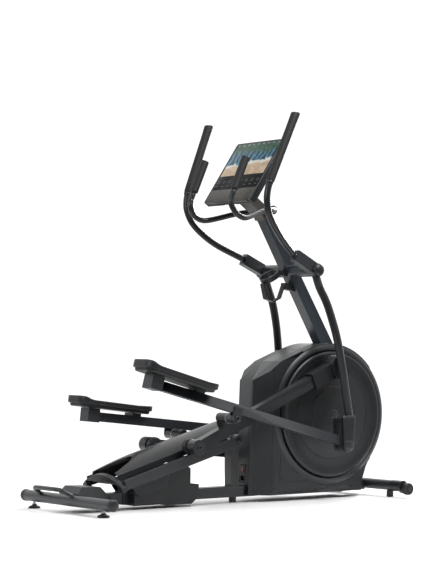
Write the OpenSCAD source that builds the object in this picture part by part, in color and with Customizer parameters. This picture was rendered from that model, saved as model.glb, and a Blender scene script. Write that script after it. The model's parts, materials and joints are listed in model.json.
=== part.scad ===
// Elliptical trainer with a front crank, rollers on a tilting ramp and swinging handles.
// X runs forward to the drive, Y to the user's left, Z up. The right-hand side is at -Y.
// The origin is on the floor, on the centre line, below the front end of the ramp.

/* [Base] */
// Length of the rear foot tube, side to side
rear_foot_length = 680; // [560:1:760]
// Distance from the origin back to the rear foot tube
rear_foot_x = -905; // [-960:1:-850]
// Distance from the origin forward to the front foot tube
front_foot_x = 790; // [740:1:860]
// Length of the front foot tube, side to side
front_foot_length = 430; // [380:1:520]
// Diameter of both foot tubes
foot_tube_d = 50; // [42:1:60]
// Height of the foot tubes' centre above the floor
foot_tube_z = 54; // [50:1:66]
// Distance between the two levelling feet
foot_spacing = 562; // [440:1:600]
// Width of the spine tube
spine_w = 60; // [50:1:80]
// Height of the spine tube
spine_h = 50; // [40:1:60]
// Height of the spine tube's underside above the floor
spine_z = 26; // [22:1:36]
// Diameter of the transport wheels
wheel_d = 58; // [50:1:62]

/* [Drive] */
// Crank centre, forward of the origin
crank_x = 489; // [470:1:520]
// Crank centre, above the floor
crank_z = 398; // [385:1:430]
// Crank radius, from the axle to a roller arm's pin
crank_r = 226; // [200:1:240]
// Angle of the right-hand crank behind the top
crank_phase = 7.13; // [0:0.01:20]
// Outer radius of a crank disc
disc_r = 296; // [280:1:310]
// Diameter of the crank axle
crank_axle_d = 30; // [24:1:40]
// Radius of the round part of the housing
shroud_r = 334; // [320:1:350]
// Width of the housing over both side covers
shroud_w = 200; // [180:1:210]
// Radius of the flywheel
flywheel_r = 125; // [100:1:140]
// Radius of the large drive pulley
pulley_r = 150; // [120:1:160]

/* [Ramp and rollers] */
// Rise of the ramp for each unit of length, at its lowest setting
ramp_rise = 0.28; // [0.2:0.01:0.34]
// Height of the roller axle line where it passes over the origin
ramp_axis_z = 370.6; // [350:0.1:390]
// Radius of a ramp roller
roller_r = 36; // [30:1:42]
// Width of a ramp roller's tread
roller_w = 28; // [20:1:30]
// Rear end of the ramp
ramp_rear_x = -735; // [-770:1:-690]
// Ramp pivot, behind the origin
ramp_pivot_x = -85; // [-100:1:-70]

/* [Arms] */
// Roller arm length, from roller to crank pin
roller_arm_l = 880; // [860:1:900]
// Width of a roller arm's tube
roller_arm_w = 42; // [34:1:44]
// Height of a roller arm's tube
roller_arm_h = 54; // [46:1:58]
// Distance from the centre line to the middle of a roller arm
roller_arm_y = 184; // [182:1:190]
// Place of the pedal arm pivot along the roller arm
pedal_pivot_s = 183; // [160:1:210]
// Height of the pedal arm pivot above the roller arm's centre line
pedal_pivot_n = 60; // [56:1:70]
// Distance from the centre line to the middle of a pedal arm
pedal_arm_y = 263; // [261:1:275]
// Width of a pedal arm's tube
pedal_arm_w = 40; // [30:1:40]
// Height of a pedal arm's tube
pedal_arm_h = 42; // [36:1:46]
// Pedal arm length, from its pivot to the swing arm's lower pin
pedal_link_l = 653.5; // [640:0.5:665]
// Diameter of the pivot collars
collar_d = 47; // [40:1:50]
// Diameter of the pivot pins
pin_d = 16; // [12:1:20]

/* [Pedals] */
// Length of a pedal
pedal_l = 400; // [340:1:430]
// Width of a pedal
pedal_w = 160; // [130:1:166]
// Height of a pedal's rim at heel and toe
pedal_rim = 42; // [30:1:50]

/* [Swing arms and handles] */
// Swing axle, forward of the origin
swing_x = 327; // [310:1:340]
// Swing axle, above the floor
swing_z = 1075; // [1060:1:1090]
// Swing arm length, from the axle to the lower pin
swing_l = 822.5; // [810:0.5:830]
// Diameter of the swing axle
swing_axle_d = 25; // [20:1:28]
// Diameter of a swing arm's hub
hub_d = 62; // [54:1:70]
// Distance from the centre line to the outer end of a hub
hub_y = 214; // [200:1:225]
// Height of the top of the right-hand moving handle
handle_top = 1788; // [1700:1:1850]
// Distance from the centre line to a moving handle's grip
handle_y = 304; // [270:1:330]
// Diameter of the moving handle tubes
handle_d = 31; // [25:1:34]
// Diameter of the moving handles' grips
grip_d = 39; // [36:1:42]

/* [Mast and console] */
// Lean of the mast from the vertical, in degrees
mast_lean = 30.8; // [28:0.1:33]
// Depth of the mast tube at its foot
mast_d = 66; // [56:1:70]
// Depth of the mast tube at its top
mast_top_d = 50; // [44:1:56]
// Width of the mast tube, side to side
mast_w = 60; // [50:1:66]
// Width of the console
console_w = 352; // [300:1:400]
// Height of the console along its face
console_h = 350; // [300:1:380]
// Thickness of the console
console_t = 30; // [24:1:40]
// Lean of the console's face from the vertical, in degrees
console_lean = 34.8; // [25:0.1:45]

/* [Hidden] */
$fn = 64;
fit = 0.06;            // running clearance between a pin and its bore, on the radius
gap = 0.6;             // clearance between parts that pass each other
wall = 3;              // sheet and tube wall
plastic = 3.5;         // moulded cover wall
dark = "#2e3034";
satin = "#3a3d42";
trim_grey = "#55585c";

// The linkage at rest, solved in the plane of the side view as [x, z].
crank = [crank_x, crank_z];
swing = [swing_x, swing_z];
ramp_angle = atan(ramp_rise);
function unit(v) = v / norm(v);
function along(a) = [cos(a), sin(a)];
function across(a) = [-sin(a), cos(a)];
function crank_pin(s) = crank + s * crank_r * [sin(crank_phase), -cos(crank_phase)];
// The roller sits on the ramp line, one roller arm behind the crank pin.
function roller_x(f) = let(a = 1 + ramp_rise * ramp_rise, h = ramp_axis_z - f[1],
    b = 2 * ramp_rise * h - 2 * f[0], c = f[0] * f[0] + h * h - roller_arm_l * roller_arm_l)
    (-b - sqrt(b * b - 4 * a * c)) / (2 * a);
function roller(s) = let(x = roller_x(crank_pin(s))) [x, ramp_axis_z + ramp_rise * x];
function roller_tilt(s) = let(d = crank_pin(s) - roller(s)) atan2(d[1], d[0]);
function pedal_pin(s) = roller(s) + pedal_pivot_s * along(roller_tilt(s))
    + pedal_pivot_n * across(roller_tilt(s));
// The swing arm's lower pin is where its circle meets the pedal arm's circle, in front.
function foot_pin(s) = let(b = pedal_pin(s), d = norm(b - swing),
    a = (swing_l * swing_l - pedal_link_l * pedal_link_l + d * d) / (2 * d),
    h = sqrt(swing_l * swing_l - a * a), e = (b - swing) / d) swing + a * e + h * [-e[1], e[0]];
function pedal_tilt(s) = let(d = foot_pin(s) - pedal_pin(s)) atan2(d[1], d[0]);
function swing_angle(s) = let(d = foot_pin(s) - swing) atan2(d[0], -d[1]);

// Lateral places, measured out from the centre line.
disc_y = shroud_w / 2 + 3;
arm_in = roller_arm_y - roller_arm_w / 2;
arm_out = roller_arm_y + roller_arm_w / 2;
pedal_in = pedal_arm_y - pedal_arm_w / 2;
pedal_out = pedal_arm_y + pedal_arm_w / 2;
fork_gap = 3;
fork_t = 8;
roller_y = 132;

// ---- shared shapes ----
module ycyl(p, y0, y1, d) {
    translate([p[0], max(y0, y1), p[1]]) rotate([90, 0, 0]) cylinder(h = abs(y1 - y0), d = d);
}
module ytube(p, y0, y1, d, bore) {
    difference() {
        ycyl(p, y0, y1, d);
        ycyl(p, min(y0, y1) - 1, max(y0, y1) + 1, bore);
    }
}
// A box that follows the line from p to q, shifted across it by lift.
module beam(p, q, y, w, h, lift = 0) {
    d = q - p;
    translate([p[0], y, p[1]]) rotate([0, -atan2(d[1], d[0]), 0])
        translate([0, -w / 2, lift - h / 2]) cube([norm(d), w, h]);
}
module box_tube(p, q, y, w, h, lift = 0) {
    difference() {
        beam(p, q, y, w, h, lift);
        beam(p - unit(q - p), q + unit(q - p), y, w - 2 * wall, h - 2 * wall, lift);
    }
}
// A plate cut to an outline of [x, z] points, between two lateral places.
module plate(y0, y1, outline) {
    translate([0, max(y0, y1), 0]) rotate([90, 0, 0])
        linear_extrude(abs(y1 - y0)) polygon(outline);
}
// A smooth run through the given points.
function blend_point(a, b, c, d, t) = 0.5 * (2 * b + (c - a) * t + (2 * a - 5 * b + 4 * c - d) * t * t
    + (3 * b - a - 3 * c + d) * t * t * t);
function smooth(p, n) = [for (i = [0 : len(p) - 2]) for (k = [0 : n - 1])
    blend_point(p[max(i - 1, 0)], p[i], p[i + 1], p[min(i + 2, len(p) - 1)], k / n), p[len(p) - 1]];
// A bent tube: an oval section of half sizes a and b carried along the points.
module bent_tube(p, a, b, ref = [0, 1, 0], sides = 20) {
    last = len(p) - 1;
    rings = [for (i = [0 : last]) let(t = unit(p[min(i + 1, last)] - p[max(i - 1, 0)]),
        u = unit(cross(ref, t)), v = cross(t, u))
        for (k = [0 : sides - 1]) p[i] + a * cos(360 * k / sides) * u + b * sin(360 * k / sides) * v];
    polyhedron(rings, concat(
        [[for (k = [0 : sides - 1]) k]],
        [[for (k = [0 : sides - 1]) last * sides + sides - 1 - k]],
        [for (i = [0 : last - 1]) for (k = [0 : sides - 1]) let(n = (k + 1) % sides)
            [i * sides + k, (i + 1) * sides + k, (i + 1) * sides + n, i * sides + n]]));
}
function mirrored(p, s) = [for (q = p) [q[0], s * q[1], q[2]]];
// Turns its children about the swing axle, from the right arm's place to this side's.
module swung(s) {
    translate([swing[0], 0, swing[1]]) rotate([0, swing_angle(-1) - swing_angle(s), 0])
        translate([-swing[0], 0, -swing[1]]) children();
}

// ---- base ----
pivot_d = pin_d + 8;
front_frame = [crank_x + 130, spine_z + spine_h];
mast_dir = [-sin(mast_lean), cos(mast_lean)];
mast_top = swing + 325 * mast_dir;
mast_low = swing - 500 * mast_dir;
mast_across = [cos(mast_lean), sin(mast_lean)];
function mast_half(d) = mast_d / 2 - (mast_d - mast_top_d) / 2 * (d + 500) / 825;
// The mast tapers; d0 and d1 are distances along it from the swing axle, and grow thickens it.
module mast_bar(d0, d1, grow) {
    a = (mast_half(d0) + grow) * mast_across;
    b = (mast_half(d1) + grow) * mast_across;
    plate(-mast_w / 2 - grow, mast_w / 2 + grow, [swing + d0 * mast_dir - a, swing + d1 * mast_dir - b,
        swing + d1 * mast_dir + b, swing + d0 * mast_dir + a]);
}
ramp_pivot = [ramp_pivot_x, ramp_axis_z + ramp_rise * ramp_pivot_x - 52];
post_x = -14;
rail_y = 131;
rail_w = 46;
rail_out = rail_y + rail_w / 2;
motor_x = -374;

module base_frame() color(satin) {
    difference() {
        union() {
            translate([rear_foot_x + foot_tube_d / 2 - 4, -spine_w / 2, spine_z])
                cube([front_foot_x - rear_foot_x - foot_tube_d + 8, spine_w, spine_h]);
            // post that carries the ramp pivot
            translate([post_x - 22, -25, spine_z + spine_h]) cube([44, 50, ramp_pivot[1] - spine_z - spine_h - 20]);
            beam([post_x, ramp_pivot[1] - 22], ramp_pivot + [6, -2], 0, 46, 40);
            ycyl(ramp_pivot, -62, 62, 44);
            ycyl(ramp_pivot, -rail_out - 3, rail_out + 3, pivot_d);
            // upright that takes the mast
            beam(front_frame + [0, -6], mast_low + [3, 6], 0, 54, 58);
            mast_bar(-526, -460, 6);
            // bearing housing of the crank axle and its strut
            ycyl(crank, -46, 46, 76);
            beam([crank_x - 4, spine_z + spine_h - 4], crank + [-4, -30], 0, 44, 50);
            beam(crank + [30, 20], [mast_low[0] + 8, crank_z + 150], 0, 40, 36);
        }
        translate([rear_foot_x, -spine_w / 2 + wall, spine_z + wall])
            cube([front_foot_x - rear_foot_x, spine_w - 2 * wall, spine_h - 2 * wall]);
        translate([rear_foot_x, 0, foot_tube_z]) rotate([90, 0, 0])
            cylinder(h = 200, d = foot_tube_d, center = true);
        translate([front_foot_x, 0, foot_tube_z]) rotate([90, 0, 0])
            cylinder(h = 200, d = foot_tube_d, center = true);
        ycyl(crank, -60, 60, bearing_od);
        mast_bar(-501, 325, 0.3);
        beam(front_frame + [0, -6], mast_low + [3, -30], 0, 44, 48);
        for (s = [-1, 1]) ycyl(ramp_pivot, s * (rail_out - 20), s * (rail_out + 4), 9);
    }
}
stem_d = 10;
module stabilizer_tubes() color(satin) {
    difference() {
        ytube([rear_foot_x, foot_tube_z], -rear_foot_length / 2, rear_foot_length / 2, foot_tube_d,
            foot_tube_d - 2 * wall);
        for (s = [-1, 1]) translate([rear_foot_x, s * foot_spacing / 2, 0]) cylinder(h = foot_tube_z, d = stem_d + 2 * fit);
    }
    ytube([front_foot_x, foot_tube_z], -front_foot_length / 2, front_foot_length / 2, foot_tube_d,
        foot_tube_d - 2 * wall);
}
wheel_x = front_foot_x + 11;
wheel_z = 42;
wheel_y = front_foot_length / 2 + 88;
wheel_w = 26;
module stabilizer_caps() color(dark) {
    for (s = [-1, 1]) {
        // rounded end caps of the rear tube
        translate([rear_foot_x, s * rear_foot_length / 2, foot_tube_z]) rotate([-s * 90, 0, 0]) {
            cylinder(h = 18, d = foot_tube_d + 3);
            translate([0, 0, -30]) cylinder(h = 30.5, d = foot_tube_d - 2 * wall - 0.2);
            translate([0, 0, 18]) scale([1, 1, 0.32]) sphere(d = foot_tube_d + 3);
        }
        // front end caps that carry the transport wheels
        ycyl([front_foot_x, foot_tube_z], s * front_foot_length / 2, s * (wheel_y - wheel_w / 2 - 4), foot_tube_d + 4);
        ycyl([wheel_x, wheel_z], s * (wheel_y - wheel_w / 2 - 28), s * (wheel_y - wheel_w / 2 - 1), 46);
        ycyl([front_foot_x, foot_tube_z], s * (front_foot_length / 2 - 30), s * front_foot_length / 2,
            foot_tube_d - 2 * wall - 0.2);
        ycyl([wheel_x, wheel_z], s * (wheel_y - wheel_w / 2 - 2), s * (wheel_y + wheel_w / 2 + 2), 12);
        ycyl([wheel_x, wheel_z], s * (wheel_y + wheel_w / 2 + 0.6), s * (wheel_y + wheel_w / 2 + 4), 22);
        // front glide feet
        translate([front_foot_x, s * 190, 0]) cylinder(h = foot_tube_z - foot_tube_d / 2 - 0.2, d = 34);
    }
    // centre foot below the spine
    translate([-10, 0, 0]) cylinder(h = spine_z, d = 34);
}
module levelling_foot(s) color(dark) {
    translate([rear_foot_x, s * foot_spacing / 2, 0]) {
        cylinder(h = 7, d = 54);
        translate([0, 0, 7]) cylinder(h = 6, d1 = 50, d2 = 26);
        cylinder(h = foot_tube_z - foot_tube_d / 2 + 14, d = stem_d);
        translate([0, 0, 18]) cylinder(h = 6, d = 19, $fn = 6);
    }
}
module transport_wheel(s) color(dark)
    difference() {
        union() {
            ycyl([wheel_x, wheel_z], s * (wheel_y - wheel_w / 2 + 3), s * (wheel_y + wheel_w / 2 - 3), wheel_d);
            ycyl([wheel_x, wheel_z], s * (wheel_y - wheel_w / 2), s * (wheel_y + wheel_w / 2), wheel_d - 8);
        }
        ycyl([wheel_x, wheel_z], s * (wheel_y - 30), s * (wheel_y + 30), 12 + 2 * fit);
    }
// The handle is off centre, to the left of the spine.
handle_route = [[rear_foot_x - 4, -58, foot_tube_z + 14], [rear_foot_x - 24, -44, 84], [rear_foot_x - 52, -26, 100],
    [rear_foot_x - 64, 0, 104], [rear_foot_x - 66, 70, 104], [rear_foot_x - 66, 150, 104],
    [rear_foot_x - 60, 178, 100], [rear_foot_x - 38, 192, 86], [rear_foot_x - 8, 200, foot_tube_z + 12]];
module lift_handle() color(satin) difference() {
    bent_tube(smooth(handle_route, 3), 10, 10, [0.2, 0.1, 1], 16);
    ycyl([rear_foot_x, foot_tube_z], -300, 300, foot_tube_d);
}
module rear_cover() color(dark)
    difference() {
        rear_cover_form(0);
        rear_cover_form(plastic);
        translate([rear_foot_x - 60, -spine_w / 2 - 1, 0]) cube([400, spine_w + 2, spine_z + spine_h + 1]);
        ycyl([rear_foot_x, foot_tube_z], -200, 200, foot_tube_d + 2);
    }
module rear_cover_form(e) intersection() {
    translate([0, 120 - e, 0]) rotate([90, 0, 0]) linear_extrude(240 - 2 * e)
        polygon([[rear_foot_x + 2 + e, spine_z + 6 - (e > 0 ? 20 : 0)], [rear_foot_x + 2 + e, 84 - e],
            [rear_foot_x + 26 + e, 114 - e], [rear_foot_x + 124 - e, 110 - e],
            [rear_foot_x + 190 - e, spine_z + 6 - (e > 0 ? 20 : 0)]]);
    translate([rear_foot_x, 0, 0]) rotate([90, 0, 90]) linear_extrude(260)
        polygon([[-105 + e, 0], [105 - e, 0], [66 - e, 120 - e], [-66 + e, 120 - e]]);
}

// ---- incline lift ----
lift_rear = -606;
lift_front = -254;
hump_rear = -446;
hump_front = -300;
module lift_outline(e) polygon([[lift_rear + e, spine_z - 8 + e], [-450, spine_z - 8 + e],
    [-430, 12 + e], [lift_front - 40, 12 + e], [lift_front - e, 44 + e], [lift_front - e, 100 - e],
    [hump_front - e, 104 - e], [hump_front - e, 172 - e], [hump_front - 16 - e, 184 - e],
    [hump_rear + e, 152 - e], [hump_rear + e, 108 - e], [lift_rear + 90, 100 - e], [lift_rear + e, 72 - e]]);
module lift_housing() color(satin) {
    difference() {
        translate([0, 74, 0]) rotate([90, 0, 0]) linear_extrude(148) lift_outline(0);
        translate([0, 74 - plastic, 0]) rotate([90, 0, 0]) linear_extrude(148 - 2 * plastic) lift_outline(plastic);
        translate([lift_rear - 10, -spine_w / 2 - 1, spine_z - 1]) cube([500, spine_w + 2, spine_h + 2]);
        translate([motor_x, 0, 100]) cylinder(h = 120, d = 60);
    }
    for (s = [-1, 1]) for (x = [lift_rear + 36, -404]) ycyl([x, 40], s * 73.9, s * 76, 9);
    // dark band round the spine behind the housing
    difference() {
        translate([lift_rear - 34, -spine_w / 2 - 4, spine_z - 4]) cube([33, spine_w + 8, spine_h + 8]);
        translate([lift_rear - 40, -spine_w / 2, spine_z]) cube([50, spine_w, spine_h]);
    }
}
module incline_motor() color("#6b6f73") {
    difference() {
        union() {
            translate([motor_x, 0, spine_z + spine_h]) cylinder(h = 56, d = 58);
            translate([motor_x - 52, -26, spine_z + spine_h]) cube([30, 52, 48]);
        }
        translate([motor_x, 0, spine_z + spine_h + 4]) cylinder(h = 60, d = 24 + 2 * fit);
    }
}
module lift_screw() color("#8c9094") {
    screw_l = track_z + ramp_rise * motor_x - 27 / cos(ramp_angle) - spine_z - spine_h - 20;
    translate([motor_x, 0, spine_z + spine_h + 5]) cylinder(h = screw_l, d = 24);
    translate([motor_x - 12, -20, spine_z + spine_h + 4 + screw_l]) cube([24, 40, 8]);
}

// ---- drive housing ----
rear_top = [72, 562];
rear_low = [44, 30];
module side_outline(e) {
    translate(crank) circle(r = shroud_r - e, $fn = 96);
    polygon([rear_low + [e, e], rear_top + [e, -e], [200 + e * 0.5, 650 - e], [330, 699 - e], [crank_x, crank_z],
        [crank_x + 290, crank_z - 150], [crank_x + 226 - e, crank_z - 256], [crank_x + 200 - e, 72],
        [crank_x + 196 - e, 30 + e]]);
}
function plan_side(e) = [[20 + e, 44], [80 + e, 52 - e / 2], [134, shroud_w / 2 - e],
    [crank_x + 250, shroud_w / 2 - e], [crank_x + shroud_r - 12, shroud_w / 2 - 34 - e],
    [crank_x + shroud_r + 4 - e, 44]];
module plan_outline(e) polygon(concat(plan_side(e),
    [for (i = [len(plan_side(e)) - 1:-1:0]) [plan_side(e)[i][0], -plan_side(e)[i][1]]]));
module shroud_form(e) intersection() {
    translate([0, 150, 0]) rotate([90, 0, 0]) linear_extrude(300) side_outline(e);
    linear_extrude(900) plan_outline(e);
}
crown_y = 42;
screw_d = 9;
screw_places = [[160, 46], [crank_x - 215, 128], [crank_x - 40, 52], [crank_x + 150, 50]];
module mast_clearance() mast_bar(-500, 325, 3);
module shroud_half(s) color(satin) mirror([0, s < 0 ? 1 : 0, 0])
    difference() {
        shroud_form(0);
        shroud_form(plastic);
        translate([-200, -300, -10]) cube([1400, 300 + crown_y + gap / 2, 1000]);
        // shallow well behind the crank disc, and the axle hole
        ycyl(crank, shroud_w / 2 - 1.5, shroud_w / 2 + 10, 2 * disc_r + 18);
        ycyl(crank, 60, 130, 74);
        translate([rear_foot_x, -spine_w / 2 - 1, spine_z - 1]) cube([1900, spine_w + 2, spine_h + 2]);
        mast_clearance();
        for (p = screw_places) ycyl(p, 80, 120, screw_d + 0.2);
    }
module shroud_crown() color(trim_grey)
    difference() {
        shroud_form(0);
        shroud_form(plastic);
        for (s = [-1, 1]) translate([-200, s > 0 ? crown_y - gap / 2 : -300 - crown_y + gap / 2, -10])
            cube([1400, 300, 1000]);
        translate([rear_foot_x, -spine_w / 2 - 1, spine_z - 30]) cube([1900, spine_w + 2, spine_h + 31]);
        translate([0, -200, -1]) cube([1000, 400, 60]);
        mast_clearance();
        translate([44, -24, 88]) cube([60, 48, 84]);
    }
module shroud_screws() color("#1b1c1e")
    for (s = [-1, 1]) for (p = screw_places) ycyl(p, s * (shroud_w / 2 - 8), s * (shroud_w / 2 + 1.5), screw_d);

// ---- crank, pulley, flywheel ----
bearing_od = 62;
module crank_bearings() color("#9a9da1")
    for (s = [-1, 1]) ytube(crank, s * 28, s * 46, bearing_od, crank_axle_d + 2 * fit);
module crank_axle() color("#9a9da1") ycyl(crank, -(disc_y + 26), disc_y + 26, crank_axle_d);
module crank_disc(s) color(satin)
    translate([crank[0], s * disc_y, crank[1]]) rotate([-s * 90, 0, 0])
        difference() {
            rotate_extrude($fn = 120) polygon([[0, 14], [0, 34], [60, 34], [90, 31], [210, 14], [262, 10],
                [268, 14], [disc_r - 6, 14], [disc_r, 9], [disc_r, 0], [disc_r - 8, 0], [disc_r - 14, 6],
                [262, 6], [210, 9], [90, 20], [50, 20], [50, 2], [22, 2], [22, 14]]);
            translate([0, 0, -1]) cylinder(h = 27, d = crank_axle_d);
        }
pulley_y = -64;
module drive_pulley() color("#4a4d50")
    difference() {
        union() {
            ycyl(crank, pulley_y - 8, pulley_y + 8, 2 * pulley_r);
            ycyl(crank, pulley_y - 11, pulley_y - 8, 2 * pulley_r + 6);
            ycyl(crank, pulley_y + 8, pulley_y + 11, 2 * pulley_r + 6);
        }
        ycyl(crank, pulley_y - 20, pulley_y + 20, crank_axle_d);
        for (k = [0 : 5]) ycyl(crank + 0.6 * pulley_r * along(60 * k + 30), pulley_y - 20, pulley_y + 20, 56);
    }
flywheel_c = [crank_x - 270, crank_z - 60];
small_pulley_r = 22;
module flywheel() color("#707478") {
    difference() {
        union() {
            ycyl(flywheel_c, 10, 38, 2 * flywheel_r);
            ycyl(flywheel_c, -80, 60, 20);
            ycyl(flywheel_c, pulley_y - 10, pulley_y + 10, 2 * small_pulley_r);
        }
        for (k = [0 : 4]) ycyl(flywheel_c + 0.58 * flywheel_r * along(72 * k), 0, 50, 44);
    }
}
// The idler rides on the outside of the belt's lower run.
belt_lean = atan2((flywheel_c - crank)[1], (flywheel_c - crank)[0]);
belt_wrap = acos((pulley_r - small_pulley_r) / norm(flywheel_c - crank));
run_out = along(belt_lean + belt_wrap);
run_start = crank + pulley_r * run_out;
run_end = flywheel_c + small_pulley_r * run_out;
idler_d = 44;
belt_t = 4;
idler_c = run_start + 0.62 * (run_end - run_start) + (idler_d / 2 + belt_t + 2 * gap) * run_out;
module idler_pulley() color("#707478") ytube(idler_c, pulley_y - 10, pulley_y + 10, idler_d, 14 + 2 * fit);
// The belt is one flat band round both pulleys.
module belt_outline(e) {
    a = belt_lean;
    b = belt_wrap;
    translate(crank) circle(r = pulley_r + e);
    translate(flywheel_c) circle(r = small_pulley_r + e);
    polygon([crank + (pulley_r + e) * along(a + b), flywheel_c + (small_pulley_r + e) * along(a + b),
        flywheel_c + (small_pulley_r + e) * along(a - b), crank + (pulley_r + e) * along(a - b)]);
}
module drive_belt() color("#151617")
    translate([0, pulley_y + 7, 0]) rotate([90, 0, 0]) linear_extrude(14)
        difference() { belt_outline(belt_t + gap); belt_outline(gap); }
module resistance_brake() color("#5c6064") {
    // magnet yoke astride the flywheel's rim, and the flywheel's bearing blocks
    yoke = flywheel_c + flywheel_r * [-0.2, 0.98];
    difference() {
        beam(yoke + [-50, -10], yoke + [50, 0], 24, 48, 44);
        ycyl(flywheel_c, 8, 40, 2 * flywheel_r + 6);
    }
    for (y = [-42, 50]) difference() {
        translate([flywheel_c[0] - 22, y - 6, spine_z + spine_h])
            cube([44, 12, flywheel_c[1] - spine_z - spine_h + (y > 0 ? flywheel_r - 10 : 22)]);
        ycyl(flywheel_c, y - 20, y + 20, 20 + 2 * fit);
    }
    translate([flywheel_c[0] - 22, -48, spine_z + spine_h]) cube([44, 104, 6]);
    // idler bracket
    ycyl(idler_c, pulley_y - 12, -36, 14);
    beam(idler_c + [0, -8], [flywheel_c[0] + 10, idler_c[1] - 30], -42, 12, 20);
}
module power_inlet() color("#1b1c1e")
    difference() {
        translate([49, -22, 90]) cube([18, 44, 80]);
        translate([40, -14, 98]) cube([20, 28, 22]);
        translate([40, -8, 136]) cube([20, 16, 26]);
    }
module power_switch() color("#8a1f1f")
    translate([52, -7.5, 149]) rotate([0, 8, 0]) translate([-5, 0, -12]) cube([8, 15, 24]);

// ---- mast ----
module mast() color("#41464d") {
    difference() {
        union() {
            mast_bar(-500, 325, 0);
            ycyl(swing, -(hub_y - 48), hub_y - 48, hub_d);
        }
        mast_bar(-510, 335, -wall);
        ycyl(swing, -hub_y, hub_y, swing_axle_d);
    }
}
module swing_axle() color("#9a9da1") {
    ycyl(swing, -(hub_y + 2), hub_y + 2, swing_axle_d);
}
ring_c = [swing_x - 117, swing_z - 30];
ring_r = 43;
ring_tilt = 32;
strap = [[swing_x - 159, swing_z - 60], [swing_x - 141, swing_z - 130], [swing_x - 101, swing_z - 143],
    [swing_x - 65, swing_z - 127], [swing_x - 41, swing_z - 70]];
// A tilted ring over a sling that carries the bottle's foot, both held on the mast's rear face.
module bottle_holder() color(dark) {
    difference() {
        union() {
            translate([ring_c[0], 0, ring_c[1]]) rotate([0, -ring_tilt, 0])
                translate([0, 0, -12]) cylinder(h = 24, r = ring_r + 6);
            beam(ring_c + [36, 20], ring_c + [98, 16], 0, 26, 24);
        }
        translate([ring_c[0], 0, ring_c[1]]) rotate([0, -ring_tilt, 0])
            translate([0, 0, -60]) cylinder(h = 120, r = ring_r);
        mast_bar(-500, 325, 0.1);
        ycyl(swing, -60, 60, hub_d + 0.2);
    }
    difference() {
        union() {
            translate([0, 14, 0]) rotate([90, 0, 0]) linear_extrude(28) offset(r = 6) polygon(strap);
            beam(strap[4] + [2, -2], strap[4] + [74, -14], 0, 34, 30);
        }
        translate([0, 20, 0]) rotate([90, 0, 0]) linear_extrude(40) polygon(strap);
        plate(-30, 30, [strap[0] + [-20, -2], strap[4] + [3, -2], strap[4] + [3, 60], strap[0] + [-20, 60]]);
        mast_bar(-500, 325, 0.1);
    }
}

// ---- handles fixed to the mast ----
fixed_y = 157;
bar_path = [[-54, fixed_y, 1577], [-85, fixed_y, 1508.5], [-116, fixed_y, 1440], [-118.5, fixed_y, 1434.5],
    [-133, fixed_y, 1398], [-134, fixed_y, 1366],
    [-108, fixed_y + 4, 1326], [-62, fixed_y - 2, 1307], [0, 128, 1318], [80, 92, 1340],
    [160, 64, 1352], [204, 38, 1357], [215, 0, 1358]];
whole_bar = concat(bar_path, [for (i = [len(bar_path) - 2 : -1 : 0])
    [bar_path[i][0], -bar_path[i][1], bar_path[i][2]]]);
fixed_d = 26;
module fixed_handlebar() color(satin) bent_tube(smooth(whole_bar, 3), fixed_d / 2, fixed_d / 2, [0.3, 0.12, 1]);
module fixed_grips() color(dark)
    for (s = [-1, 1]) difference() {
        bent_tube([for (t = [-0.05 : 0.15 : 1]) [-54 - 62 * t, s * fixed_y, 1577 - 137 * t]], 19, 19);
        bent_tube([for (t = [-0.01, 0.5, 1.03]) [-54 - 62 * t, s * fixed_y, 1577 - 137 * t]],
            fixed_d / 2 + 0.15, fixed_d / 2 + 0.15);
    }

// ---- console ----
console_foot = [-43, 1392];
face_dir = [sin(console_lean), cos(console_lean)];
face_out = [cos(console_lean), -sin(console_lean)];
tilt_pin = console_foot + 78 * face_dir + 52 * face_out;
module on_console() translate([console_foot[0], 0, console_foot[1]]) rotate([0, console_lean, 0]) children();
module console_neck() color("#6a655f") {
    difference() {
        union() {
            beam(mast_top + [-4, -8], tilt_pin + [4, -2], 0, 84, 46);
            ycyl(tilt_pin, -44, 44, 40);
            mast_bar(289, 333, 6);
            // clamp round the fixed handlebar
            ycyl([212, 1358], -28, 28, 42);
        }
        mast_bar(-500, 325, 0);
        bent_tube(smooth(whole_bar, 3), fixed_d / 2 + 0.3, fixed_d / 2 + 0.3, [0.3, 0.12, 1]);
        ycyl(tilt_pin, -60, 60, pin_d);
    }
}
bezel = 8;
glass_t = 3;
module console_shell() color(dark) {
    on_console() difference() {
        union() {
            translate([0, -console_w / 2, 0]) cube([console_t, console_w, console_h]);
            // bulged back
            translate([console_t, 0, 96]) rotate([-90, 0, 0]) rotate([0, 0, 0])
                translate([0, 0, -110]) linear_extrude(220)
                polygon([[0, 60], [34, 34], [34, -120], [0, -160]]);
        }
        translate([-1, -console_w / 2 + bezel, 92]) cube([glass_t + 1, console_w - 2 * bezel, console_h - 100]);
        translate([console_t - 6, -47, -60]) cube([90, 94, 190]);
    }
    // ears that hold the tilt pin
    for (s = [-1, 1]) difference() {
        beam(tilt_pin - 34 * face_out, tilt_pin + 12 * face_out, s * 56, 16, 44);
        ycyl(tilt_pin, -80, 80, pin_d - 4);
    }
    ycyl(tilt_pin, -64, 64, pin_d - 2 * fit);
}
module console_screen() color("#10131a") on_console()
    translate([glass_t - 2.7, -console_w / 2 + bezel + 0.3, 92.3])
        cube([2.6, console_w - 2 * bezel - 0.6, console_h - 100.6]);

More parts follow.
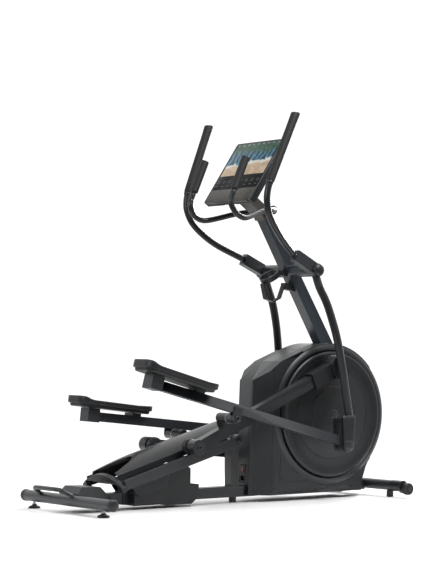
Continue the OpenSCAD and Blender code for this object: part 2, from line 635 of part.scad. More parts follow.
// ---- ramp ----
// Ramp parts are drawn level, with the track's top at z = 0, and set on the slope.
track_z = ramp_axis_z - (roller_r + gap / 2) / cos(ramp_angle);
module on_ramp() translate([0, 0, track_z]) rotate([0, -ramp_angle, 0]) children();
function ramp_x(x) = x / cos(ramp_angle);
ramp_front = ramp_pivot_x - 16;
module ramp_frame() color(satin) difference() {
    union() {
        for (s = [-1, 1]) ycyl(ramp_pivot, s * (rail_y - rail_w / 2 + 4), s * rail_out, 52);
        on_ramp() ramp_bars();
    }
    ycyl(ramp_pivot, -90, 90, 60);
    ycyl(ramp_pivot, -200, 200, pivot_d + 2 * fit);
}
module ramp_bars() {
    for (s = [-1, 1]) {
        translate([ramp_x(ramp_rear_x) + 26, s * rail_y - rail_w / 2, -30])
            cube([ramp_x(ramp_front - ramp_rear_x) - 26, rail_w, 30]);
        translate([ramp_x(ramp_rear_x) + 26, s * (rail_out - 2) - 2, -40])
            cube([ramp_x(ramp_front - ramp_rear_x) - 26, 4, 47]);
    }
    for (x = [ramp_rear_x + 40, -500, motor_x - 17, -276, -140])
        translate([ramp_x(x), -rail_y + 10, -26]) cube([34, 2 * rail_y - 20, 26]);
}
cover_top = 66;
module cover_section(e) intersection() {
    translate([0, -84]) scale([1, 1]) circle(r = 84 + cover_top - e, $fn = 96);
    translate([-102 + e, 0]) square([204 - 2 * e, 140]);
}
module ramp_cover() color(trim_grey) difference() {
    on_ramp() difference() {
        translate([ramp_x(ramp_rear_x) + 28, 0, 0]) rotate([90, 0, 90])
            linear_extrude(ramp_x(ramp_front + 30 - ramp_rear_x) - 28) cover_section(0);
        translate([ramp_x(ramp_rear_x) - 10, 0, -4]) rotate([90, 0, 90])
            linear_extrude(ramp_x(ramp_front + 30 - ramp_rear_x) + 60) cover_section(plastic);
        // the rear of the cover slopes down to the end cap
        translate([ramp_x(ramp_rear_x) + 20, -120, 33]) rotate([0, -9, 0]) cube([260, 240, 90]);
    }
    ycyl(ramp_pivot, -130, 130, 62);
}
module ramp_trim() color(dark) on_ramp() {
    // arched end cap across the rear of the ramp
    translate([ramp_x(ramp_rear_x), 0, 0]) difference() {
        translate([0, -rail_out - 4, -44]) cube([25.5, 2 * rail_out + 8, 76]);
        translate([-1, 0, -150]) rotate([90, 0, 90]) linear_extrude(30)
            difference() {
                translate([-rail_out - 20, 0]) square([2 * rail_out + 40, 300]);
                translate([0, -80]) circle(r = 262, $fn = 96);
            }
        translate([-1, -rail_y + 8, -46]) cube([30, 2 * rail_y - 16, 44]);
    }
    // round skirts that hide the lift's opening
    for (s = [-1, 1]) intersection() {
        translate([ramp_x(-506) - 36, s * 81.5 + 1.75, -34]) rotate([90, 0, 0]) cylinder(h = 3.5, r = 104);
        translate([ramp_x(-506) - 160, -100, -112]) cube([260, 200, 77]);
    }
}

// ---- rollers and roller arms ----
axle_d = 20;
module roller_axle(s) color("#9a9da1")
    ycyl(roller(s), s * (roller_y - roller_w / 2 - 6), s * (arm_out + 4), axle_d);
module ramp_roller(s) color("#1b1c1e") ytube(roller(s), s * (roller_y - roller_w / 2), s * (roller_y + roller_w / 2),
    2 * roller_r, axle_d + 2 * fit);
bush_d = 34;
module roller_bush(s) color("#c9b98a")
    ytube(roller(s), s * (roller_y + roller_w / 2 + gap), s * (arm_out - 6), bush_d, axle_d + 2 * fit);
hub_tube_d = 70;
hub_in = rail_out + 2.5;
module roller_arm(s) color(satin) {
    a = roller(s);
    f = crank_pin(s);
    t = roller_tilt(s);
    y = s * roller_arm_y;
    difference() {
        union() {
            difference() {
                beam(a + 20 * along(t), f - 30 * along(t), y, roller_arm_w, roller_arm_h);
                beam(a + 40 * along(t), f - 50 * along(t), y, roller_arm_w - 2 * wall, roller_arm_h - 2 * wall);
            }
            ycyl(a, s * hub_in, s * (arm_out + 2), hub_tube_d);
            ycyl(f, s * (arm_in - 6), s * arm_out, 64);
            ycyl(pedal_pin(s), s * arm_in, s * (pedal_in - 12.5), collar_d);
            beam(pedal_pin(s) - 26 * along(t) - 30 * across(t), pedal_pin(s) + 26 * along(t) - 30 * across(t), y,
                roller_arm_w, 40);
        }
        ycyl(a, s * 100, s * (arm_out - 5), bush_d + 2 * fit);
        ycyl(a, s * (arm_out - 6), s * (arm_out + 3), axle_d + 6);
        ycyl(pedal_pin(s), s * (arm_in - 5), s * (pedal_in + 5), pin_d + 2 * fit);
    }
    // stub that the crank's bearing takes
    ycyl(f, s * (disc_y + 37), s * (arm_in - 6), 40);
}
module crank_cover(s) color(dark) {
    f = crank_pin(s);
    t = roller_tilt(s);
    difference() {
        union() {
            ycyl(f, s * (arm_in - 4), s * (arm_out + 22), 112);
            beam(f - 168 * along(t), f, s * (arm_in + roller_arm_w / 2 + 4), roller_arm_w + 14, roller_arm_h + 20);
        }
        beam(f - 200 * along(t), f, s * roller_arm_y, roller_arm_w + 0.6, roller_arm_h + 0.6);
        ycyl(f, s * (arm_in - 10), s * (arm_out + 1.2), 96);
    }
}

// ---- pedal arms and pedals ----
arm_axis_lift = 44;     // the tube's centre line passes this far above the pivot
arm_drop = -15.05;      // slope of the right-hand tube at rest
module at_pedal_arm(s) {
    b = pedal_pin(s);
    translate([b[0], 0, b[1]]) rotate([0, -(pedal_tilt(s) - pedal_tilt(-1)) - arm_drop, 0]) children();
}
tube_back = 462;
tube_front = 652;
module pedal_arm(s) color(satin) {
    c = foot_pin(s);
    at_pedal_arm(s) translate([0, s * pedal_arm_y, arm_axis_lift]) difference() {
        translate([-tube_back, -pedal_arm_w / 2, -pedal_arm_h / 2]) cube([tube_back + tube_front, pedal_arm_w, pedal_arm_h]);
        translate([-tube_back + 4, -pedal_arm_w / 2 + wall, -pedal_arm_h / 2 + wall])
            cube([tube_back + tube_front - 20, pedal_arm_w - 2 * wall, pedal_arm_h - 2 * wall]);
    }
    difference() {
        union() {
            ycyl(pedal_pin(s), s * (pedal_in - 12), s * (pedal_out + 8), collar_d);
            at_pedal_arm(s) translate([-24, s > 0 ? pedal_out + 0.01 : -pedal_out - 8, 0]) cube([48, 8, 52]);
            ycyl(c, s * pedal_in, s * pedal_out, pedal_arm_h);
        }
        ycyl(pedal_pin(s), s * (pedal_in - 11.9), s * (pedal_out + 3), pin_d + 8);
        ycyl(c, s * (pedal_in - 5), s * (pedal_out + 5), 24);
    }
    // pivot pin, held by the pedal arm and turning in the roller arm's collar
    ycyl(pedal_pin(s), s * (arm_in + 3), s * (pedal_out + 8), pin_d);
    ycyl(pedal_pin(s), s * (pedal_in - 11.9), s * (pedal_out + 3), pin_d + 8);
    // rear and front brackets below the pedal
    at_pedal_arm(s) translate([0, s * pedal_arm_y, arm_axis_lift]) {
        translate([-tube_back - 30, -34, -26]) cube([62, 68, 63]);
        translate([-250, -34, pedal_arm_h / 2 - 1]) cube([46, 68, 13]);
    }
}
pedal_mid = -384;
pedal_up = 62;
module pedal_form(e) translate([0, 0, e]) linear_extrude(pedal_rim) {
    r = 42;
    hull() for (x = [-1, 1]) for (y = [-1, 1])
        translate([x * (pedal_l / 2 - r), y * (pedal_w / 2 - r)]) circle(r = r - e, $fn = 48);
}
module pedal(s) color(dark)
    at_pedal_arm(s) translate([pedal_mid + 30, s * (pedal_arm_y + 3), arm_axis_lift + pedal_up - 20])
        rotate([0, 1, 0]) difference() {
            union() {
                pedal_form(0);
                translate([-pedal_l / 2 + 20, -pedal_w / 2 + 20, -6]) cube([pedal_l - 40, pedal_w - 40, 8]);
            }
            translate([0, 0, 12]) pedal_form(5);
            // the sides dip between the raised heel and toe
            for (y = [-1, 1]) translate([0, y * pedal_w / 2, pedal_rim + 150]) rotate([90, 0, 0])
                cylinder(h = 40, r = 168, center = true, $fn = 96);
        }

// ---- swing arms ----
leg_path = [[swing_x + 2, 194, swing_z - 20], [swing_x + 22, 198, swing_z - 80], [swing_x + 54, 210, swing_z - 150],
    [swing_x + 80, 224, swing_z - 240], [swing_x + 98, 238, swing_z - 330], [swing_x + 114, 254, swing_z - 460],
    [swing_x + 128, 267, swing_z - 600], [swing_x + 137, 277, swing_z - 690]];
module swing_leg(s) color(satin) swung(s) {
    c = foot_pin(-1);
    difference() {
        union() {
            ycyl(swing, s * (hub_y - 46), s * hub_y, hub_d);
            // socket for the handlebar
            beam(swing + 20 * unit(socket_dir), swing + 138 * unit(socket_dir), s * (hub_y - 20), 40, 54);
        }
        ycyl(swing, s * 100, s * 300, swing_axle_d + 2 * fit);
        translate([swing[0], s * (hub_y - 20), swing[1]]) rotate([0, -atan2(socket_dir[1], socket_dir[0]), 0])
            translate([79, 0, 0]) rotate([0, 90, 0]) cylinder(h = 100, d = handle_d);
    }
    difference() {
        bent_tube(smooth(mirrored(leg_path, s), 3), 21, 15, [0, 1, 0], 24);
        ycyl(swing, s * 100, s * 300, hub_d - 2);
    }
    // fork that straddles the pedal arm
    for (y = [pedal_in - fork_gap - fork_t, pedal_out + fork_gap]) difference() {
        plate(s * y, s * (y + fork_t), [c + [-30, 0], c + [-34, 120], c + [34, 130], c + [30, 0],
            c + [20, -24], c + [0, -31], c + [-20, -24]]);
        ycyl(c, s * (y - 5), s * (y + fork_t + 5), 16);
    }
    translate([c[0] - 33, s > 0 ? pedal_in - fork_gap - fork_t : -(pedal_out + fork_gap + fork_t), c[1] + 100])
        cube([66, pedal_arm_w + 2 * fork_gap + 2 * fork_t, 26]);
    for (y = [pedal_in - fork_gap - fork_t - 3, pedal_out + fork_gap - 0.4]) ycyl(c, s * y, s * (y + fork_t + 3.4), 16);
}
socket_dir = [-117, 62];
socket_end = swing + 138 * unit(socket_dir);
function in_socket(d) = let(q = swing + d * unit(socket_dir)) [q[0], hub_y - 20, q[1]];
handle_path = [in_socket(80), in_socket(139), in_socket(150), [96, 240, 1207], [30, 268, 1263], [-18, handle_y - 18, 1322], [-37, handle_y - 7, 1380],
    [-36, handle_y - 3, 1425], [-24, handle_y - 1, 1468]];
grip_low = [-24, handle_y - 1, 1468];
grip_top = [124, handle_y + 2, handle_top];
module handlebar(s) color(satin) swung(s)
    bent_tube(concat(smooth(mirrored(handle_path, s), 4), mirrored([grip_low + 0.5 * (grip_top - grip_low),
        grip_low + 0.97 * (grip_top - grip_low)], s)), handle_d / 2 - 0.1, handle_d / 2 - 0.1, [0, 1, 0]);
module grip(s) color(dark) swung(s)
    difference() {
        bent_tube(mirrored([for (t = [0 : 0.125 : 1]) grip_low + t * (grip_top - grip_low)], s), grip_d / 2, grip_d / 2);
        bent_tube(mirrored([grip_low - 0.02 * (grip_top - grip_low), grip_low + 0.975 * (grip_top - grip_low)], s),
            handle_d / 2 + 0.1, handle_d / 2 + 0.1);
    }
module leg_cover(s) color(dark) swung(s) {
    c = foot_pin(-1);
    y = pedal_out + fork_gap + fork_t + 0.4;
    difference() {
        union() {
            plate(s * y, s * (y + 16), [c + [-27, 0], c + [-37, 128], c + [-28, 140], c + [30, 142], c + [37, 126],
                c + [27, 0]]);
            ycyl(c, s * y, s * (y + 16), 56);
            ycyl(c, s * (y + 16), s * (y + 20), 46);
        }
        ycyl(c, s * (y - 1), s * (y + 6), 18);
    }
    // domed cap on the end of the swing axle
    difference() {
        translate([swing[0], s * (hub_y + 0.4), swing[1]]) rotate([-s * 90, 0, 0]) {
            cylinder(h = 9, d = hub_d - 1);
            translate([0, 0, 9]) scale([1, 1, 0.42]) sphere(d = hub_d - 1);
        }
        ycyl(swing, s * (hub_y - 1), s * (hub_y + 3), swing_axle_d + 1);
        ycyl(swing, s * (hub_y - 40), s * (hub_y + 0.4), hub_d + 4);
    }
}

base_frame();
stabilizer_tubes();
stabilizer_caps();
lift_handle();
rear_cover();
lift_housing();
incline_motor();
lift_screw();
shroud_half(-1);  // shroud_right
shroud_half(1);  // shroud_left
shroud_crown();
shroud_screws();
crank_bearings();
drive_belt();
resistance_brake();
power_inlet();
power_switch();
mast();
swing_axle();
bottle_holder();
fixed_handlebar();
fixed_grips();
console_neck();
console_shell();
console_screen();
crank_axle();
crank_disc(-1);  // right_crank_disc
crank_disc(1);  // left_crank_disc
drive_pulley();
flywheel();
idler_pulley();
ramp_frame();
ramp_cover();
ramp_trim();
transport_wheel(-1);  // right_transport_wheel
transport_wheel(1);  // left_transport_wheel
levelling_foot(-1);  // right_levelling_foot
levelling_foot(1);  // left_levelling_foot
swing_leg(-1);  // right_swing_leg
swing_leg(1);  // left_swing_leg
handlebar(-1);  // right_handlebar
handlebar(1);  // left_handlebar
grip(-1);  // right_grip
grip(1);  // left_grip
leg_cover(-1);  // right_leg_cover
leg_cover(1);  // left_leg_cover
pedal_arm(-1);  // right_pedal_arm
pedal_arm(1);  // left_pedal_arm
pedal(-1);  // right_pedal
pedal(1);  // left_pedal
roller_arm(-1);  // right_roller_arm
roller_arm(1);  // left_roller_arm
crank_cover(-1);  // right_crank_cover
crank_cover(1);  // left_crank_cover
roller_bush(-1);  // right_roller_bush
roller_bush(1);  // left_roller_bush
roller_axle(-1);  // right_roller_axle
roller_axle(1);  // left_roller_axle
ramp_roller(-1);  // right_ramp_roller
ramp_roller(1);  // left_ramp_roller
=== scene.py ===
# Elliptical trainer: the finished look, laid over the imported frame. Metres, +X forward, +Z up.
import json
import math

import bpy
import numpy as np
from mathutils import Matrix, Vector


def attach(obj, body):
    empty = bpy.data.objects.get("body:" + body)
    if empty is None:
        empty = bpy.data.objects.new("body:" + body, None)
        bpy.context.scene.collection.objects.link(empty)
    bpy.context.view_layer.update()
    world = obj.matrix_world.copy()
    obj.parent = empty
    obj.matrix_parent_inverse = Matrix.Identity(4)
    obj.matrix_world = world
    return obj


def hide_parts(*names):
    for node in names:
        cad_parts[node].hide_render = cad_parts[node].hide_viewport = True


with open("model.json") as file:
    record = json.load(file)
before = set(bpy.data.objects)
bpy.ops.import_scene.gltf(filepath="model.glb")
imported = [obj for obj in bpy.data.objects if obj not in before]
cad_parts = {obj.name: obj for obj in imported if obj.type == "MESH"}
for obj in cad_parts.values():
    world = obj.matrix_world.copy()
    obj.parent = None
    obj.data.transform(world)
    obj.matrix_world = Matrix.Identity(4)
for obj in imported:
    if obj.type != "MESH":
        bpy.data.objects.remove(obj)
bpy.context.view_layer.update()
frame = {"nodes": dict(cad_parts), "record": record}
bpy.ops.object.select_all(action="DESELECT")
nodes = frame["nodes"]
body_of_node = {n: b for b, ns in frame["record"]["behaviour"]["bodies"].items() for n in ns}
joint_at = {j["name"]: Vector(j["pos_m"]) for j in frame["record"]["behaviour"]["joints"] if "pos_m" in j}


# ---- Studio ----
# A pale paper floor that fades into a white room, a soft key high on the right, a weaker fill
# from behind and a rim panel on the front left. The camera stands to the right and behind, at
# hip height, with a long lens.
def colour(hex_code):
    """An sRGB hex value as linear red, green, blue and alpha."""
    parts = [int(hex_code[i : i + 2], 16) / 255 for i in (1, 3, 5)]
    return [c / 12.92 if c <= 0.04045 else ((c + 0.055) / 1.055) ** 2.4 for c in parts] + [1.0]


def add(tree, kind, inputs=None, **settings):
    """Adds a node, with its settings, its input values and its links."""
    node = tree.nodes.new(kind)
    for name, value in settings.items():
        setattr(node, name, value)
    for name, value in (inputs or {}).items():
        if isinstance(value, bpy.types.NodeSocket):
            tree.links.new(value, node.inputs[name])
        else:
            node.inputs[name].default_value = value
    return node


def new_material(name):
    material = bpy.data.materials.new(name)
    material.use_nodes = True
    tree = material.node_tree
    tree.nodes.clear()
    return material, tree


def close_material(tree, shader):
    add(tree, "ShaderNodeOutputMaterial", {"Surface": shader.outputs[0]})


floor_full, floor_gone = 0.95, 2.1  # the paper is whole to the first radius, gone at the second
bpy.ops.mesh.primitive_plane_add(size=24, location=(0, 0, -0.0005))
floor = bpy.context.object
floor.name = "studio_floor"
paper, tree = new_material("seamless_paper_matt")
speckle = add(tree, "ShaderNodeTexNoise", {"Scale": 40.0, "Detail": 3.0})
tone = add(tree, "ShaderNodeValToRGB", {"Fac": speckle.outputs["Fac"]})
tone.color_ramp.elements[0].color = colour("#f6f6f6")
tone.color_ramp.elements[1].color = colour("#f9f9f9")
card = add(tree, "ShaderNodeBsdfPrincipled", {"Base Color": tone.outputs["Color"], "Roughness": 0.9})
reach = add(tree, "ShaderNodeVectorMath", {0: add(tree, "ShaderNodeTexCoord").outputs["Object"]},
    operation="LENGTH")
fade = add(tree, "ShaderNodeMapRange", {"Value": reach.outputs["Value"],
    "From Min": floor_full, "From Max": floor_gone})
nothing = add(tree, "ShaderNodeBsdfTransparent")
close_material(tree, add(tree, "ShaderNodeMixShader", {"Fac": fade.outputs["Result"], 1: card.outputs[0],
    2: nothing.outputs[0]}))
floor.data.materials.append(paper)

world = bpy.data.worlds.new("white_room")
bpy.context.scene.world = world
world.use_nodes = True
room = world.node_tree
room.nodes.clear()
seen = add(room, "ShaderNodeLightPath").outputs["Is Camera Ray"]
facing = add(room, "ShaderNodeVectorMath", {0: add(room, "ShaderNodeTexCoord").outputs["Generated"],
    1: (0.45, 0.62, 0.64)}, operation="DOT_PRODUCT")
wall = add(room, "ShaderNodeMapRange", {"Value": facing.outputs["Value"], "From Min": -0.35,
    "From Max": 0.75,
    "To Min": 0.16, "To Max": 1.15})
level = add(room, "ShaderNodeMath", {0: wall.outputs["Result"], 1: seen}, operation="MAXIMUM")
white = add(room, "ShaderNodeBackground", {"Color": (1, 1, 1, 1), "Strength": level.outputs[0]})
add(room, "ShaderNodeOutputWorld", {"Surface": white.outputs[0]})
bpy.context.scene.view_settings.view_transform = "Standard"

target = Vector((-0.098, 0, 0.982))


def area_light(name, place, size, power):
    bpy.ops.object.light_add(type="AREA", location=place)
    light = bpy.context.object
    light.name = name
    light.data.size = size
    light.data.energy = power
    light.rotation_euler = (target - Vector(place)).to_track_quat("-Z", "Y").to_euler()


area_light("key_panel", (0.6, -3.2, 4.2), 1.6, 170)
area_light("fill_panel", (-4.5, -1.2, 2.4), 1.8, 55)
area_light("rim_panel", (3.4, 1.8, 2.6), 1.8, 190)

bpy.ops.object.camera_add(location=(-5.621, -7.474, 0.803))
camera = bpy.context.object
camera.rotation_euler = (target - camera.location).to_track_quat("-Z", "Y").to_euler()
camera.data.lens = 125.5
camera.data.sensor_width = 36
camera.data.clip_end = 100
bpy.context.scene.camera = camera


# ---- Welded steel frame, ramp rails, swing and roller arms ----
# Mild-steel tube, welded and powder coated in a satin charcoal: a faint orange peel,
# slightly brighter on worn edges, and a broad soft sheen along every tube.
def satin_coat(name, base, worn, peel_mm, roughness, metallic=0.0, coat=0.0, depth=0.12, grit_mm=0.8):
    """A coated or moulded skin: mottled tone, fine peel or grain, edges a little polished."""
    material, tree = new_material(name)
    place = add(tree, "ShaderNodeTexCoord").outputs["Object"]
    cloud = add(tree, "ShaderNodeTexNoise", {"Vector": place, "Scale": 9.0, "Detail": 4.0})
    grain = add(tree, "ShaderNodeTexNoise", {"Vector": place, "Scale": 1000 / peel_mm, "Detail": 2.0})
    grit = add(tree, "ShaderNodeTexVoronoi", {"Vector": place, "Scale": 1000 / grit_mm / 2})
    edge = add(tree, "ShaderNodeNewGeometry").outputs["Pointiness"]
    wear = add(tree, "ShaderNodeMapRange", {"Value": edge, "From Min": 0.50, "From Max": 0.58,
        "To Max": 0.55})
    tone = add(tree, "ShaderNodeMixRGB", {"Fac": cloud.outputs["Fac"],
        "Color1": [c * 0.84 for c in base[:3]] + [1],
        "Color2": [c * 1.16 for c in base[:3]] + [1]})
    worn_tone = add(tree, "ShaderNodeMixRGB", {"Fac": wear.outputs["Result"],
        "Color1": tone.outputs["Color"],
        "Color2": worn})
    rough = add(tree, "ShaderNodeMapRange", {"Value": cloud.outputs["Fac"], "To Min": roughness - 0.06,
        "To Max": roughness + 0.06})
    height = add(tree, "ShaderNodeMath", {0: grain.outputs["Fac"], 1: grit.outputs["Distance"]},
        operation="ADD")
    bump = add(tree, "ShaderNodeBump", {"Height": height.outputs[0], "Strength": depth, "Distance": 0.0004})
    close_material(tree, add(tree, "ShaderNodeBsdfPrincipled", {
        "Base Color": worn_tone.outputs["Color"], "Roughness": rough.outputs["Result"],
        "Metallic": metallic, "Coat Weight": coat, "Coat Roughness": 0.25,
        "Normal": bump.outputs["Normal"]}))
    return material


charcoal_powder = satin_coat("mild_steel_powder_coated_charcoal", colour("#121417"), colour("#34373b"), 3.0,
    0.34, 0, 0.1)
mast_powder = satin_coat("mild_steel_powder_coated_slate", colour("#1d242b"), colour("#3d454d"), 3.0, 0.32,
    0, 0.2)


def flatten_faces():
    """Large faces keep their own normals, so that only the rounded edges shade."""
    bpy.ops.object.modifier_add(type="WEIGHTED_NORMAL")
    weighted = bpy.context.object.modifiers[-1]
    weighted.keep_sharp = True
    weighted.weight = 80
    bpy.ops.object.modifier_apply(modifier=weighted.name)


def finished_copy(node, material, radius_mm=1.5, angle=35, segments=2, dissolve=True):
    """Stands for a node: its own shape, merged, with rounded edges and smooth faces."""
    source = nodes[node]
    piece = source.copy()
    piece.data = source.data.copy()
    piece.name = node + "_finished"
    piece.parent = None
    for key in list(piece.keys()):
        del piece[key]
    bpy.context.scene.collection.objects.link(piece)
    bpy.ops.object.select_all(action="DESELECT")
    piece.select_set(True)
    bpy.context.view_layer.objects.active = piece
    bpy.ops.object.mode_set(mode="EDIT")
    bpy.ops.mesh.select_all(action="SELECT")
    bpy.ops.mesh.remove_doubles(threshold=0.00002)
    if dissolve:
        bpy.ops.mesh.dissolve_limited(angle_limit=math.radians(1.0))
    bpy.ops.object.mode_set(mode="OBJECT")
    if radius_mm:
        bevel = piece.modifiers.new("round_edges", "BEVEL")
        bevel.width = radius_mm / 1000
        bevel.segments = segments
        bevel.limit_method = "ANGLE"
        bevel.angle_limit = math.radians(angle)
        bevel.use_clamp_overlap = True
        bevel.harden_normals = False
        bpy.ops.object.modifier_apply(modifier="round_edges")
    bpy.ops.object.mode_set(mode="EDIT")
    bpy.ops.mesh.select_all(action="SELECT")
    bpy.ops.mesh.quads_convert_to_tris()
    bpy.ops.object.mode_set(mode="OBJECT")
    bpy.ops.object.shade_smooth_by_angle(angle=math.radians(48 if radius_mm else 32))
    if radius_mm:
        flatten_faces()
    piece.data.materials.clear()
    piece.data.materials.append(material)
    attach(piece, body_of_node[node])
    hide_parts(node)
    return piece


for node in ("base_frame", "ramp_frame"):
    finished_copy(node, charcoal_powder, 2.0)
for side in ("right", "left"):
    for node in ("_roller_arm", "_pedal_arm"):
        finished_copy(side + node, charcoal_powder, 4.0, segments=3)
    finished_copy(side + "_swing_leg", charcoal_powder, 1.5, 50)
    finished_copy(side + "_handlebar", charcoal_powder, 0)
for node in ("stabilizer_tubes", "lift_handle", "fixed_handlebar"):
    finished_copy(node, charcoal_powder, 0)
finished_copy("mast", mast_powder, 5.0, segments=3)

# ---- Moulded covers ----
# Injection-moulded ABS, grained charcoal: a leather-like texture of about a millimetre,
# soft moulded corners, screwed to the frame.
moulded_abs = satin_coat("ABS_moulded_charcoal_grain", colour("#131518"), colour("#25282c"), 1.4, 0.42, 0,
    0, 0.3)
crown_abs = satin_coat("ABS_moulded_dark_grey", colour("#1a1b1d"), colour("#303235"), 1.4, 0.36, 0, 0.1,
    0.22)
finished_copy("shroud_crown", crown_abs, 0, dissolve=False)
finished_copy("ramp_cover", crown_abs, 1.2, 40)
for node in ("rear_cover", "lift_housing"):
    finished_copy(node, moulded_abs, 5.0, 30, 3)
for node in ("ramp_trim", "stabilizer_caps"):
    finished_copy(node, moulded_abs, 2.0, 40, 2)
for side in ("right", "left"):
    finished_copy(side + "_crank_cover", moulded_abs, 8.0, 40, 4)
finished_copy("bottle_holder", moulded_abs, 1.8, 30, 3)


# ---- Crank discs ----
# A thin moulded disc, 592 mm across, turns on each side of the housing: domed in the middle,
# with two fine grooves, a shallow trough and a rolled rim that catches the light.
def own(piece, name, material, body, replaces=()):
    """Names a piece, gives it its finish, and says what it rides on and stands for."""
    piece.name = name
    piece.data.name = name
    piece.data.materials.clear()
    piece.data.materials.append(material)
    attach(piece, body)
    if replaces:
        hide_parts(*replaces)
    return piece


def edit(*steps):
    """Runs operators in edit mode on the whole of the active object."""
    bpy.ops.object.mode_set(mode="EDIT")
    bpy.ops.mesh.select_all(action="SELECT")
    for step in steps:
        step()
    bpy.ops.object.mode_set(mode="OBJECT")


def round_edges(radius, segments):
    """Rounds every edge of the active object."""
    edit(lambda: bpy.ops.mesh.bevel(offset=radius, segments=segments, affect="EDGES"))


def coat(node, material):
    """Gives a node of the frame its own finish."""
    nodes[node].data.materials.clear()
    nodes[node].data.materials.append(material)


def merge():
    bpy.ops.mesh.remove_doubles(threshold=0.000005)


def close_holes():
    bpy.ops.mesh.select_all(action="SELECT")
    bpy.ops.mesh.fill_holes(sides=0)


def face_out():
    bpy.ops.mesh.select_all(action="SELECT")
    bpy.ops.mesh.normals_make_consistent(inside=False)


def skin(rings, smooth=34, loop=False):
    """A grid is wrapped over rings of points, sewn along its seam and closed at both ends."""
    around = len(rings[0])
    bpy.ops.object.select_all(action="DESELECT")
    rows = rings + [rings[0]] if loop else rings
    bpy.ops.mesh.primitive_grid_add(x_subdivisions=around, y_subdivisions=len(rows) - 1, size=1,
        location=(0, 0, 0))
    piece = bpy.context.object
    places = [tuple(row[i % around]) for row in rows for i in range(around + 1)]
    assert len(piece.data.vertices) == len(places), (len(piece.data.vertices), len(places))
    piece.data.vertices.foreach_set("co", np.array(places, float).ravel())
    piece.data.update()
    edit(merge, close_holes, face_out)
    bpy.ops.object.shade_smooth_by_angle(angle=math.radians(smooth))
    return piece


def turned(profile, centre, side, steps=128, smooth=30):
    """A profile of (radius, height) spun about the Y axis through centre, height outward on that side."""
    rings = []
    for k in range(steps):
        a = 2 * math.pi * k / steps
        rings.append([Vector((centre[0] + r * math.cos(a), centre[1] + side * h,
            centre[2] + r * math.sin(a)))
                      for r, h in profile])
    return skin(rings, smooth, loop=True)


SIDES = (("right", -1), ("left", 1))
crank_centre = joint_at["crank_turn"]
disc_y, housing_y = 0.103, 0.100  # how far out the disc's back and the housing's side face lie
disc_profile = [(0.0165, 0.0338), (0.022, 0.034), (0.050, 0.0336), (0.090, 0.0312), (0.128, 0.0270),
                (0.1305, 0.0250), (0.133, 0.0264), (0.170, 0.0208), (0.2075, 0.0150), (0.2095, 0.0130),
                (0.212, 0.0142), (0.240, 0.0117), (0.260, 0.0108), (0.266, 0.0120), (0.274, 0.0150),
                (0.284, 0.0158), (0.291, 0.0140), (0.295, 0.0105), (0.296, 0.0060), (0.296, 0.0005),
                (0.288, 0.0005), (0.280, 0.0060), (0.200, 0.0070), (0.0165, 0.0130)]
for side, s in SIDES:
    centre = (crank_centre.x, s * disc_y, crank_centre.z)
    disc = turned(disc_profile, centre, s, 160)
    own(disc, side + "_crank_disc_finished", moulded_abs, "crank", [side + "_crank_disc"])
    cap = turned([(0.0005, 0.0362), (0.012, 0.0360), (0.0205, 0.0352), (0.0235, 0.0338), (0.0240, 0.0300),
                  (0.0005, 0.0300)], centre, s, 64)
    own(cap, side + "_crank_cap", crown_abs, "crank")

# ---- Housing halves ----
# Two thin ABS shells, about 58 mm deep each side of the crown, screwed to the frame: a raised lip
# about the disc, fine panel seams and a swept groove low down drawn as near-black beads of painted
# shade, and four near-black screws on each side.
def bead(points, radius, steps=8):
    """A thin round bead along points that lie in a plane square to Y."""
    rings = []
    for k, p in enumerate(points):
        ahead = (points[min(k + 1, len(points) - 1)] - points[max(k - 1, 0)]).normalized()
        out = Vector((0, 1, 0))
        wide = ahead.cross(out)
        rings.append([p + radius * (math.cos(a) * out + math.sin(a) * wide)
                      for a in (2 * math.pi * i / steps for i in range(steps))])
    return skin(rings, 60)


# Painted shade: raised near-black beads stand in for the shadow inside the panel seams and the swept groove;
# the cover screws use the same near-black.
seam_shadow_black = satin_coat("ABS_shadow_gap_black", colour("#060607"), colour("#0c0c0d"), 1.4, 0.6, 0, 0, 0.2)
for side, s in SIDES:
    finished_copy("shroud_" + side, moulded_abs, 0, dissolve=False)
    lip = [(0.2995, -0.003), (0.3000, 0.0045), (0.3020, 0.0075), (0.3060, 0.0088), (0.3130, 0.0080),
        (0.3210, 0.0048),
           (0.3270, 0.0018), (0.3300, 0.0002), (0.3300, -0.003)]
    own(turned(lip, (crank_centre.x, s * housing_y, crank_centre.z), s, 160, 40), side + "_disc_lip",
        crown_abs, "frame")
    lines = {"rear_seam": [(0.139, 0.034), (0.150, 0.330), (0.160, 0.622)],
             "panel_seam": [(0.205, 0.280), (0.197, 0.200), (0.186, 0.088), (0.270, 0.088), (0.355, 0.088),
             (0.362, 0.100)],
             "groove": [(0.362, 0.100), (0.385, 0.084), (0.413, 0.073), (0.455, 0.066), (0.498, 0.063),
             (0.540, 0.068), (0.575, 0.078),
                        (0.620, 0.083), (0.660, 0.083)]}
    for name, path in lines.items():
        own(bead([Vector((x, s * housing_y, z)) for x, z in path], 0.0011), f"{side}_{name}", seam_shadow_black,
            "frame")
    for k, (x, z) in enumerate(((0.155, 0.060), (0.202, 0.106), (0.409, 0.045), (0.620, 0.050))):
        dimple = [(0.0005, 0.0010), (0.0028, 0.0010), (0.0034, 0.0016), (0.0046, 0.0012), (0.0050, -0.001),
            (0.0005, -0.001)]
        own(turned(dimple, (x, s * housing_y, z), s, 20, 40), f"{side}_cover_screw_{k}", seam_shadow_black, "frame")

# ---- Pedals ----
# Each foot tray is moulded in glass-filled nylon: a deep rounded heel and toe, sides that dip
# between them, a stepped base and rows of low rubber studs on the footbed.
pedal_nylon = satin_coat("glass_filled_nylon_moulded_black", colour("#121316"), colour("#2c2f33"), 1.2,
    0.44, 0, 0, 0.35)
stud_rubber = satin_coat("TPE_overmoulded_grey", colour("#34383d"), colour("#50555b"), 0.9, 0.6, 0, 0, 0.3)
pedal_length, pedal_width, heel_height = 0.400, 0.160, 0.042


